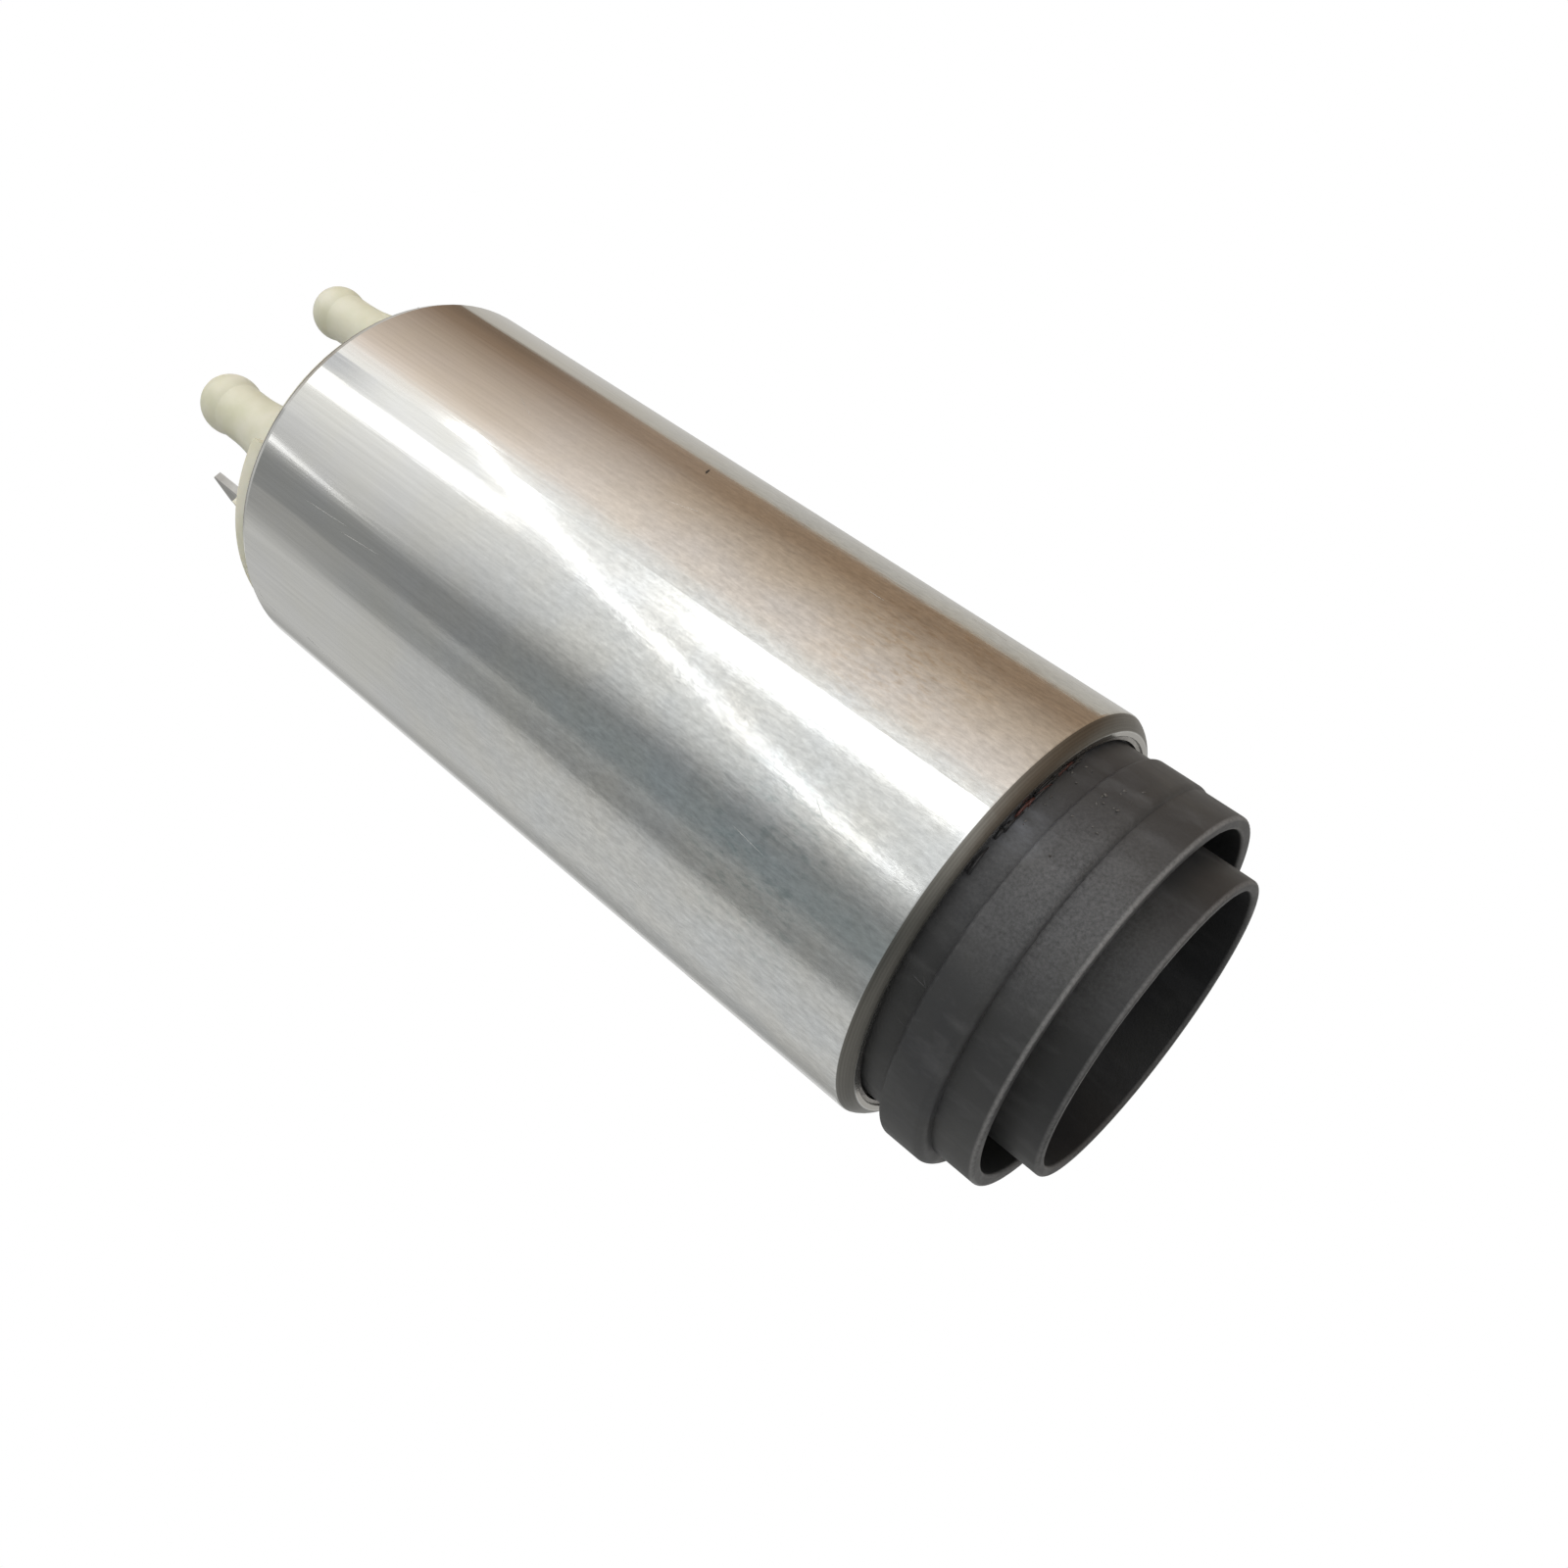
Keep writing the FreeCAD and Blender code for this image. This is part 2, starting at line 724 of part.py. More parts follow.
def vane_pocket(body, name, height, reverse):
    """One pocket between two vanes, repeated all round the wheel."""
    inner = vane_inner
    outer = impeller_radius - S.vane_rim
    half_pitch = as_size(180) / S.vane_count
    inner_half = inner * sine(half_pitch) - S.vane_thickness / 2
    outer_half = outer * sine(half_pitch) - S.vane_thickness / 2
    sketch = outline(body, f"{name}_outline", [
        (inner, -inner_half), (outer, -outer_half), (outer, outer_half), (inner, inner_half),
    ], "XY_Plane", (0, 0, height))
    pocket = extrude(body, name, sketch, S.vane_depth, cut=True, reverse=reverse)
    return repeat_round(body, f"{name}_ring", pocket, S.vane_count)


def impeller():
    """Regenerative turbine wheel: closed rim, a row of vanes on both faces, D-shaped bore."""
    body = new_body("impeller")
    bottom = inlet_plate_top + S.impeller_side_gap
    top = bottom + S.impeller_height
    extrude(body, "wheel", disc(body, "wheel_circle", (0, 0), impeller_radius, bottom),
            S.impeller_height)
    fit = S.shaft_radius + S.seat_gap
    face = S.shaft_radius - S.shaft_flat + S.seat_gap
    half_flat = root_of_difference(fit, face)
    bore = outline(body, "bore_outline", [
        (face, -half_flat), (face, half_flat, fit), (-fit, 0, fit),
    ], "XY_Plane", (0, 0, top))
    extrude(body, "drive_bore", bore, S.impeller_height, cut=True)
    hole = disc(body, "balance_circle", (balance_circle, 0), S.balance_hole_radius, top)
    balance = extrude(body, "balance_hole", hole, S.impeller_height, cut=True)
    repeat_round(body, "balance_holes", balance, S.balance_hole_count)
    vane_pocket(body, "upper_pocket", top, False)
    vane_pocket(body, "lower_pocket", bottom, True)


def thrust_washer(label, bottom):
    """Thin washer that spaces the rotor from a bush."""
    body = new_body(label)
    inner = S.shaft_radius + S.seat_gap
    revolve(body, "washer", [
        (inner, bottom), (S.washer_radius, bottom),
        (S.washer_radius, bottom + S.washer_height), (inner, bottom + S.washer_height),
    ])


def slot_points(gap):
    """Outline of one armature slot on the +X side, drawn in from its walls by gap."""
    tip = core_radius - S.slot_lip - gap
    root = S.slot_root_radius + gap
    return [(root, -S.slot_inner_width / 2 + gap), (tip, -S.slot_outer_width / 2 + gap),
            (tip, S.slot_outer_width / 2 - gap), (root, S.slot_inner_width / 2 - gap)]


def slotted_disc(label, bottom, height):
    """Armature section: toothed disc with a slot between each pair of teeth."""
    body = new_body(label)
    top = bottom + height
    extrude(body, "round", disc(body, "round_circle", (0, 0), core_radius, bottom), height)
    bore = disc(body, "bore_circle", (0, 0), S.shaft_radius + S.seat_gap, top)
    extrude(body, "bore", bore, height, cut=True)
    half = S.slot_opening / 2
    tip = core_radius - S.slot_lip
    outside = core_radius + S.slot_lip
    inner, outer_low, outer_high, inner_high = slot_points(as_size(0))
    slot = outline(body, "slot_outline", [
        inner, outer_low, (tip, -half), (outside, -half),
        (outside, half), (tip, half), outer_high, inner_high,
    ], "XY_Plane", (0, 0, top))
    cut = extrude(body, "slot", slot, height, cut=True)
    repeat_round(body, "slots", cut, S.slot_count)


def end_turns(body, name, bottom, top):
    """Bundle of winding ends: a ring with a rounded outer shoulder."""
    shoulder = S.end_turn_height / 2
    if name == "upper_turns":
        points = [(S.end_turn_inner, bottom), (end_turn_outer, bottom),
                  (end_turn_outer, top - shoulder, shoulder),
                  (end_turn_outer - shoulder, top), (S.end_turn_inner, top)]
    else:
        points = [(S.end_turn_inner, bottom), (end_turn_outer - shoulder, bottom, shoulder),
                  (end_turn_outer, bottom + shoulder), (end_turn_outer, top),
                  (S.end_turn_inner, top)]
    revolve(body, name, points)


def windings():
    """Copper winding: a bar in every slot joined by the end turns above and below."""
    body = new_body("windings")
    lower_top = winding_bottom + S.end_turn_height
    upper_bottom = winding_top - S.end_turn_height
    end_turns(body, "lower_turns", winding_bottom, lower_top)
    bar = outline(body, "bar_outline", slot_points(S.winding_gap), "XY_Plane",
                  (0, 0, lower_top))
    repeat_round(body, "slot_bars", extrude(body, "slot_bar", bar, upper_bottom - lower_top),
                 S.slot_count)
    end_turns(body, "upper_turns", upper_bottom, winding_top)


def commutator_hub():
    """Moulded hub that carries the commutator segments on the shaft."""
    body = new_body("commutator_hub")
    inner = S.shaft_radius + S.seat_gap
    revolve(body, "hub", [
        (inner, hub_bottom), (S.hub_radius, hub_bottom),
        (S.hub_radius, segment_bottom), (S.segment_bore - S.seat_gap, segment_bottom),
        (S.segment_bore - S.seat_gap, commutator_top - S.stack_gap * 2),
        (inner, commutator_top - S.stack_gap * 2),
    ])


def commutator_segments():
    """Flat carbon commutator: a ring parted into one segment for each slot."""
    body = new_body("commutator_segments", compound=True)
    revolve(body, "segment_ring", [
        (S.segment_bore, segment_bottom), (S.segment_radius, segment_bottom),
        (S.segment_radius, commutator_top), (S.segment_bore, commutator_top),
    ])
    centre = ((S.segment_bore + S.segment_radius) / 2, as_size(0))
    gap = block(body, "gap_outline", centre, S.segment_radius, S.segment_slot, commutator_top)
    cut = extrude(body, "gap", gap, S.segment_height, cut=True)
    repeat_round(body, "gaps", cut, S.slot_count)


def flux_ring():
    """Steel tube that closes the magnetic circuit and spaces the pump stage from the brushes."""
    body = new_body("flux_ring")
    inner = stack_radius - S.flux_wall
    revolve(body, "tube", [
        (inner, outlet_plate_top), (stack_radius, outlet_plate_top),
        (stack_radius, holder_bottom), (inner, holder_bottom),
    ])


def magnet(label, side):
    """Arc magnet against the flux ring, side 1 on +Y and -1 on -Y."""
    body = new_body(label)
    outer = magnet_outer
    inner = magnet_inner
    edge_x = sine(S.magnet_half_angle)
    edge_y = cosine(S.magnet_half_angle) * side
    length = core_length + S.magnet_overhang * 2
    arc = outline(body, "arc_outline", [
        (inner * edge_x, inner * edge_y),
        (outer * edge_x, outer * edge_y, outer * side), (0, outer * side, outer * side),
        (-outer * edge_x, outer * edge_y),
        (-inner * edge_x, inner * edge_y, -inner * side), (0, inner * side, -inner * side),
    ], "XY_Plane", (0, 0, core_bottom - S.magnet_overhang))
    extrude(body, "arc", arc, length)


def clip_points(side):
    """U-shaped strip spanning the gap between the magnets' edges on the +X or -X side."""
    outer = magnet_outer
    inner = outer - S.clip_thickness
    half = magnet_inner * cosine(S.magnet_half_angle) - S.clip_side_gap
    back = root_of_difference(outer, half)
    front = back - S.clip_leg
    inner_half = half - S.clip_thickness
    inner_back = root_of_difference(inner, inner_half)
    return [
        (front * side, -half), (back * side, -half, outer * side), (back * side, half),
        (front * side, half), (front * side, inner_half),
        (inner_back * side, inner_half, -inner * side), (inner_back * side, -inner_half),
        (front * side, -inner_half),
    ]


def magnet_clips():
    """Two U-shaped spring strips that spread the magnets against the flux ring."""
    body = new_body("magnet_clips", compound=True)
    bottom = core_bottom + S.clip_setback
    for name, side in (("front", 1), ("rear", -1)):
        strip = outline(body, f"{name}_outline", clip_points(side), "XY_Plane", (0, 0, bottom))
        extrude(body, f"{name}_clip", strip, core_length - S.clip_setback * 2)


def well_size():
    return S.brush_width + S.brush_gap * 2, S.brush_depth + S.brush_gap * 2


def brush_holder():
    """Moulded plate with two brush wells, the upper bush tower, choke cups and flow windows."""
    body = new_body("brush_holder")
    width, depth = well_size()
    extrude(body, "plate", disc(body, "plate_circle", (0, 0), stack_radius, holder_bottom),
            S.holder_height)
    tower_top = holder_top + S.upper_bush_height
    tower = disc(body, "tower_circle", (0, 0), S.hub_tower_radius, holder_top)
    extrude(body, "bush_tower", tower, S.upper_bush_height)
    for name, side in (("left", -1), ("right", 1)):
        centre = (as_size(0), S.brush_circle * side)
        walls = block(body, f"{name}_well_outline", centre, width + S.well_wall * 2,
                      depth + S.well_wall * 2, holder_top)
        extrude(body, f"{name}_well_walls", walls, S.well_height)
        cup = disc(body, f"{name}_cup_circle", (-choke_x, choke_y * side),
                   S.choke_cup_radius, holder_top)
        extrude(body, f"{name}_choke_cup", cup, S.choke_cup_height)
    for name, side in (("left", -1), ("right", 1)):
        centre = (as_size(0), S.brush_circle * side)
        well = block(body, f"{name}_well_bore", centre, width, depth, well_top)
        extrude(body, f"{name}_brush_well", well, well_top - holder_bottom, cut=True)
        socket = disc(body, f"{name}_socket_circle", (-choke_x, choke_y * side),
                      S.choke_core_radius + S.seat_gap, holder_top + S.choke_cup_height)
        extrude(body, f"{name}_choke_socket", socket, S.choke_cup_height, cut=True)
        window = disc(body, f"{name}_window_circle", (window_circle * side, 0),
                      S.window_radius, holder_top)
        extrude(body, f"{name}_flow_window", window, S.holder_height, cut=True)
    bush_hole = disc(body, "bush_circle", (0, 0), S.bush_radius + S.seat_gap, tower_top)
    extrude(body, "bush_seat", bush_hole, S.upper_bush_height, cut=True)
    bore = disc(body, "bore_circle", (0, 0), S.shaft_radius + S.running_gap * 2, holder_top)
    extrude(body, "shaft_bore", bore, S.holder_height, cut=True)


def brush(label, side):
    """Carbon brush that stands on the commutator, its top edges bevelled."""
    body = new_body(label)
    bottom = commutator_top + S.stack_gap
    y = S.brush_circle * side
    half = S.brush_width / 2
    top = bottom + S.brush_length
    bevel = S.brush_chamfer
    face = outline(body, "brush_outline", [
        (-half, bottom), (half, bottom), (half, top - bevel), (half - bevel, top),
        (-half + bevel, top), (-half, top - bevel),
    ], "XZ_Plane", (0, 0, -(y + S.brush_depth / 2)))
    extrude(body, "brush_block", face, S.brush_depth)


def spring_cap(label, side):
    """Brass plate over a brush well with a leg down the well's side."""
    body = new_body(label)
    width, depth = well_size()
    full_width = width + S.well_wall * 2
    plate = block(body, "plate_outline", (as_size(0), S.brush_circle * side), full_width,
                  depth + S.well_wall, well_top)
    extrude(body, "plate", plate, S.cap_plate)
    leg_x = -(full_width / 2 + S.cap_plate / 2)
    leg = block(body, "leg_outline", (leg_x, S.brush_circle * side), S.cap_plate, depth,
                well_top + S.cap_plate)
    extrude(body, "leg", leg, S.cap_leg_height, reverse=True)


def choke_core(label, side):
    """Ferrite rod of an interference choke."""
    body = new_body(label)
    base = disc(body, "rod_circle", (-choke_x, choke_y * side), S.choke_core_radius,
                holder_top)
    extrude(body, "rod", base, well_top - holder_top)


def choke_coil(label, side):
    """Wound copper sleeve of a choke, its turns shown as a row of ridges."""
    body = new_body(label)
    bottom = holder_top + S.choke_cup_height
    inner = S.choke_core_radius + S.seat_gap
    waist = S.choke_coil_radius - S.choke_waist
    pitch = S.choke_coil_length / CHOKE_TURNS
    points = [(inner, bottom), (waist, bottom)]
    for turn in range(CHOKE_TURNS):
        points.append((S.choke_coil_radius, bottom + pitch * turn + pitch / 2))
        points.append((waist, bottom + pitch * (turn + 1)))
    points.append((inner, bottom + S.choke_coil_length))
    revolve(body, "turns", points, place=(-choke_x, choke_y * side))


def nipple_points(head, neck):
    """Hose nipple: flared foot, short neck and round head, about its own axis."""
    neck_height = nipple_top - S.neck_drop
    head_centre = nipple_top - head
    join = root_of_difference(head, neck)
    return [
        (0, chamber_top), (S.foot_radius, chamber_top), (S.foot_radius, cover_face, -S.foot_round),
        (neck, neck_height), (neck, head_centre - join, head), (0, nipple_top),
    ]


def nipple(body, name, side, head, neck, bore, chamber):
    """Hose nipple with a valve chamber hanging below it inside the cover."""
    place = (nipple_x, nipple_y * side)
    revolve(body, f"{name}_nipple", nipple_points(head, neck), place=place)
    wall = disc(body, f"{name}_chamber_circle", place, chamber + S.chamber_wall, chamber_bottom)
    extrude(body, f"{name}_chamber_wall", wall, cover_face - chamber_bottom)
    hollow = disc(body, f"{name}_hollow_circle", place, chamber, chamber_top)
    extrude(body, f"{name}_chamber", hollow, chamber_top - chamber_bottom, cut=True)
    hole = disc(body, f"{name}_bore_circle", place, bore, nipple_top)
    extrude(body, f"{name}_bore", hole, nipple_top - chamber_top, cut=True)


def key_wall_points():
    """Curved wall on the first terminal's side that sets which way round a plug goes."""
    outer = fitted_radius
    inner = outer - S.key_wall_width
    first = (cosine(S.key_wall_start), -sine(S.key_wall_start))
    last = (cosine(S.key_wall_end), -sine(S.key_wall_end))
    return [
        (outer * first[0], outer * first[1], outer), (outer * last[0], outer * last[1]),
        (inner * last[0], inner * last[1], -inner), (inner * first[0], inner * first[1]),
    ]


def outlet_cover():
    """Cream moulding: cup with a seal groove, level face, key wall, nipples and blade collars."""
    body = new_body("outlet_cover")
    crimp_start = shell_top - S.crimp_height
    groove = crimp_start - S.cover_groove_setback - S.groove_width
    revolve(body, "cup", [
        (cover_inner, holder_top),
        (fitted_radius, holder_top),
    ] + seal_groove(groove, fitted_radius) + [
        (fitted_radius, crimp_start),
        (fitted_radius - S.crimp_depth, shell_top),
        (fitted_radius, shell_top + S.crimp_depth),
        (fitted_radius, cover_face),
        (S.dome_radius, cover_face),
        (S.dome_radius - S.dome_height / 2, cover_face + S.dome_height),
        (0, cover_face + S.dome_height),
        (0, plate_bottom),
        (cover_inner, plate_bottom),
    ])
    key_wall = outline(body, "key_wall_outline", key_wall_points(), "XY_Plane", (0, 0, cover_face))
    extrude(body, "key_wall", key_wall, S.key_wall_rise)
    nipple(body, "outlet", -1, S.outlet_head_radius, S.outlet_neck_radius,
           S.outlet_bore_radius, S.outlet_chamber_radius)
    nipple(body, "relief", 1, S.relief_head_radius, S.relief_neck_radius,
           S.relief_bore_radius, S.relief_chamber_radius)
    collar_width = S.blade_width + S.collar_wall * 2
    collar_depth = S.blade_thickness + S.collar_wall * 2
    collar_face = cover_face + S.collar_rise
    for name, side in (("left", -1), ("right", 1)):
        centre = (S.terminal_x, terminal_y * side)
        walls = block(body, f"{name}_collar_outline", centre, collar_width, collar_depth,
                      cover_face - S.cover_plate / 2)
        extrude(body, f"{name}_collar", walls, S.collar_rise + S.cover_plate / 2)
        slot = block(body, f"{name}_slot_outline", centre, S.blade_width + S.seat_gap * 2,
                     S.blade_thickness + S.seat_gap * 2, collar_face)
        extrude(body, f"{name}_blade_slot", slot, collar_face - plate_bottom, cut=True)
    round_rims(body, "edge_rounding", S.cover_edge_round, [(fitted_radius, cover_face)])


def terminal(label, side):
    """Blade terminal with a foot plate that reaches the choke below the cover."""
    body = new_body(label)
    half = S.blade_width / 2
    top = cover_face + S.collar_rise + S.blade_rise
    taper = S.blade_taper
    x = S.terminal_x
    face = outline(body, "blade_outline", [
        (x - half, well_top), (x + half, well_top), (x + half, top - taper),
        (x + half - taper, top), (x - half + taper, top), (x - half, top - taper),
    ], "XZ_Plane", (0, 0, -(terminal_y * side + S.blade_thickness / 2)))
    extrude(body, "blade", face, S.blade_thickness)
    near = (terminal_y - S.foot_plate_width + S.blade_thickness / 2) * side
    far = (terminal_y + S.blade_thickness / 2) * side
    reach = S.choke_core_radius + S.well_wall / 2
    foot = outline(body, "foot_outline", [
        (x + half, far), (x + half, near), (-choke_x + reach, near),
        (-choke_x + reach, (choke_y - reach) * side),
        (-choke_x - reach, (choke_y - reach) * side),
        (-choke_x - reach, (choke_y + reach) * side),
        (-choke_x + reach, far),
    ], "XY_Plane", (0, 0, well_top))
    extrude(body, "foot_plate", foot, S.cap_plate)


def valve_seat(label, side, chamber, bore):
    """Ring pressed into the foot of a valve chamber."""
    body = new_body(label)
    outer = chamber - S.seat_gap
    revolve(body, "seat", [
        (bore, chamber_bottom), (outer, chamber_bottom),
        (outer, chamber_bottom + S.valve_seat_height),
        (bore, chamber_bottom + S.valve_seat_height),
    ], place=(nipple_x, nipple_y * side))


def check_valve():
    """Poppet with its seal, held down on the seat by a spring under the outlet nipple."""
    place = (nipple_x, -nipple_y)
    seat_top = chamber_bottom + S.valve_seat_height
    seal_top = seat_top + S.stack_gap + S.seal_height
    poppet_top = seal_top + S.poppet_height
    valve_seat("check_valve_seat", -1, S.outlet_chamber_radius, S.check_seat_bore)
    seal = new_body("check_valve_seal")
    revolve(seal, "seal", [
        (S.seal_bore, seal_top - S.seal_height), (S.poppet_radius, seal_top - S.seal_height),
        (S.poppet_radius, seal_top), (S.seal_bore, seal_top),
    ], place=place)
    poppet = new_body("check_valve_poppet")
    nose = S.seal_bore - S.seat_gap
    stem = S.poppet_stem_radius
    revolve(poppet, "poppet", [
        (0, seat_top - S.valve_seat_height / 2), (nose / 2, seat_top - S.valve_seat_height / 2),
        (nose, seat_top), (nose, seal_top), (S.poppet_radius, seal_top),
        (S.poppet_radius, poppet_top), (stem, poppet_top),
        (stem, poppet_top + S.poppet_stem_height), (0, poppet_top + S.poppet_stem_height),
    ], place=place)
    coil_spring("check_valve_spring", place, poppet_top, chamber_top, S.check_spring_radius,
                S.check_spring_wire, S.check_spring_turns)


def relief_valve():
    """Ball held down on its seat by a spring under the second nipple."""
    place = (nipple_x, nipple_y)
    seat_top = chamber_bottom + S.valve_seat_height
    centre = seat_top + root_of_difference(S.ball_radius, S.relief_seat_bore) + S.seat_gap
    valve_seat("relief_valve_seat", 1, S.relief_chamber_radius, S.relief_seat_bore)
    ball = doc.addObject("Part::Sphere", "relief_valve_ball")
    ball.Label = "relief_valve_ball"
    ball.setExpression("Radius", S.ball_radius.formula)
    place_at(ball, place[0], place[1], centre)
    NODES.append(ball)
    touch = S.relief_spring_radius - S.relief_spring_wire
    low = centre + root_of_difference(S.ball_radius, touch) + S.seat_gap
    coil_spring("relief_valve_spring", place, low, chamber_top, S.relief_spring_radius,
                S.relief_spring_wire, S.relief_spring_turns)


def brush_springs():
    brush_top = commutator_top + S.stack_gap + S.brush_length
    for label, side in (("brush_spring_left", -1), ("brush_spring_right", 1)):
        coil_spring(label, (as_size(0), S.brush_circle * side), brush_top, well_top,
                    S.brush_spring_radius, S.brush_spring_wire, S.brush_spring_turns)


def seals():
    wire = S.o_ring_wire
    middle = shell_bore - (S.groove_depth + S.stack_gap) / 2
    cap_groove = cap_top - S.groove_setback - S.groove_width / 2
    cover_groove = shell_top - S.crimp_height - S.cover_groove_setback - S.groove_width / 2
    ring("inlet_o_ring", middle, wire, cap_groove)
    ring("cover_o_ring", middle, wire, cover_groove)


def rotor():
    impeller()
    shaft()
    slotted_disc("armature_core", core_bottom, core_length)
    slotted_disc("slot_insulator_lower", core_bottom - S.insulator_height, S.insulator_height)
    slotted_disc("slot_insulator_upper", core_top, S.insulator_height)
    windings()
    commutator_hub()
    commutator_segments()
    thrust_washer("thrust_washer_lower", collar_top + S.stack_gap)
    thrust_washer("thrust_washer_upper", holder_bottom - S.stack_gap - S.washer_height)


def check_cuts(body):
    """Every pocket and groove has to take material away."""
    for feature in body.Group:
        if feature.TypeId not in ("PartDesign::Pocket", "PartDesign::Groove"):
            continue
        before = feature.BaseFeature.Shape.Volume
        if feature.Shape.Volume >= before:
            raise RuntimeError(f"{body.Label}: {feature.Label} cuts nothing")


def check_document():
    for thing in doc.Objects:
        if "Invalid" in thing.State or "Error" in thing.State:
            raise RuntimeError(f"{thing.Label}: {thing.State} {thing.getStatusString()}")
    for node in NODES:
        shape = node.Shape
        if shape.isNull() or not shape.isValid() or not shape.Solids:
            raise RuntimeError(f"{node.Label} has no valid solid")
        if node.TypeId == "PartDesign::Body":
            check_cuts(node)


def build():
    shell()
    retaining_ring()
    inlet_cap()
    seals()
    inlet_plate()
    thrust_pad()
    outlet_plate()
    bush("lower_bush", collar_top - S.lower_bush_height, S.lower_bush_height)
    rotor()
    flux_ring()
    magnet("magnet_north", 1)
    magnet("magnet_south", -1)
    magnet_clips()
    brush_holder()
    bush("upper_bush", holder_top, S.upper_bush_height)
    for name, side in (("left", -1), ("right", 1)):
        brush(f"brush_{name}", side)
        spring_cap(f"spring_cap_{name}", side)
        choke_core(f"choke_core_{name}", side)
        choke_coil(f"choke_coil_{name}", side)
        terminal(f"terminal_{name}", side)
    brush_springs()
    outlet_cover()
    check_valve()
    relief_valve()
    doc.recompute()


def write_parts():
    os.makedirs("parts", exist_ok=True)
    for node in NODES:
        node.Shape.exportStep(os.path.join("parts", f"{node.Label}.step"))


build()
check_document()
write_parts()
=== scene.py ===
import json
import math
import random

import bmesh
import bpy
from mathutils import Matrix, Vector

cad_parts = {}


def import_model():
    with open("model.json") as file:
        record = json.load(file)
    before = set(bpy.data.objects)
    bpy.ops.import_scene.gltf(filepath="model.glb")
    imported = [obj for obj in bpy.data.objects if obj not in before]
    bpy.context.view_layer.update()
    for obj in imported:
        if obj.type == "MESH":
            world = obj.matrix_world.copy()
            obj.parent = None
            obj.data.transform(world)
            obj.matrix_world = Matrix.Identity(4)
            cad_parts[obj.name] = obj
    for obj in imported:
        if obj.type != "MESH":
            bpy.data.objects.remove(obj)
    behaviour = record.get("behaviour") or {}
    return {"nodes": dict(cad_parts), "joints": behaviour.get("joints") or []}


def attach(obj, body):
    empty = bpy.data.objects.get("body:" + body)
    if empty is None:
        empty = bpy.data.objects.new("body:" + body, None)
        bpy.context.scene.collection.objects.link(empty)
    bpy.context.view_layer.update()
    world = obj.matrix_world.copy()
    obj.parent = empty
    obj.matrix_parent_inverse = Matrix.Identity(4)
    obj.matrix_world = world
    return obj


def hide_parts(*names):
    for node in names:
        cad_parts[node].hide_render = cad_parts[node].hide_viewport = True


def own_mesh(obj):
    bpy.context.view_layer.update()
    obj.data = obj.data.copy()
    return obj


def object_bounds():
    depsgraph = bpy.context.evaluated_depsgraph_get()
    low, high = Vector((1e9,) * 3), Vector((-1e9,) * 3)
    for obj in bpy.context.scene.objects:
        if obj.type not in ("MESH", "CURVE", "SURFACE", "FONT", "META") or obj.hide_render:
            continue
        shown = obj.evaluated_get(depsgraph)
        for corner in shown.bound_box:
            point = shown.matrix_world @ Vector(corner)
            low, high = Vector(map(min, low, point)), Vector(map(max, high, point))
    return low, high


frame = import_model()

cad_box = [list(corner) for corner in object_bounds()]

MM = 0.001
WHITE = (1.0, 1.0, 1.0)

# The rolled lip: its corner on the can, where its slope meets its flat edge, and that edge's height
LIP_CORNER = 16.50 * MM
LIP_EDGE = 20.3 * MM
LIP_FLAT = 15.60 * MM
# Where the swaged edge at the outlet end turns over
SWAGE_TOP = 99.85 * MM
# The can is smooth above the first height and grainy below the second
SMOOTH_ABOVE = 84 * MM
GRAINY_BELOW = 50 * MM
# Flecked stains on the can: place, tint
STAINS = (
    (Vector((16.4, -14.0, 29.0)) * MM, (0.62, 0.70, 0.70)),
    (Vector((19.4, 9.2, 31.0)) * MM, (0.80, 0.70, 0.58)),
)

# The round walls that wear sits on, and how far it is sunk into them, in millimetres
CAN_RADIUS = 21.5
NECK_RADIUS = 19.10
SKIRT_RADIUS = 19.27
RIB_RADIUS = 20.05
RIB_OFFSET = 0.65
SUNK = 0.01

# On the inlet cap: where dust lies thickest, its pale patch partly painted light; a painted bluish
# sheen on the neck; and the rims, painted paler as highlights
DUST_AND_LIGHT_PLACE = Vector((19.2, -1.5, 7.5)) * MM
NECK_SHEEN_PLACE = Vector((19.0, 0.6, 14.2)) * MM
RIM_HIGHLIGHT_CIRCLES = tuple((radius * MM, height * MM) for radius, height in (
    (15.35, 0.1), (14.30, 0.1), (19.27, 3.7), (18.02, 3.7)))

# The photograph's camera, in the frame's own axes
CAMERA_PLACE = Vector((124.29, -39.55, -19.33)) * MM
CAMERA_RIGHT = Vector((-0.1490, 0.6697, -0.7273))
CAMERA_UP = Vector((0.4737, 0.6940, 0.5424))
CAMERA_LENS = 34.47
CAMERA_SENSOR = 36.0

# Azimuths are degrees from +X towards +Y, elevations are degrees above the level
TENT_RADIUS = 1.6
TENT_STRENGTH = 1.05
TENT_BASE = (0.50, 0.50, 0.49)
# Elevations that a panel covers, and how soft their edges are
ALL = (-90, 90, 1)
LOW = (-90, 33, 6)
MIDDLE = (-90, 43, 3)
HIGH = (44, 90, 6)
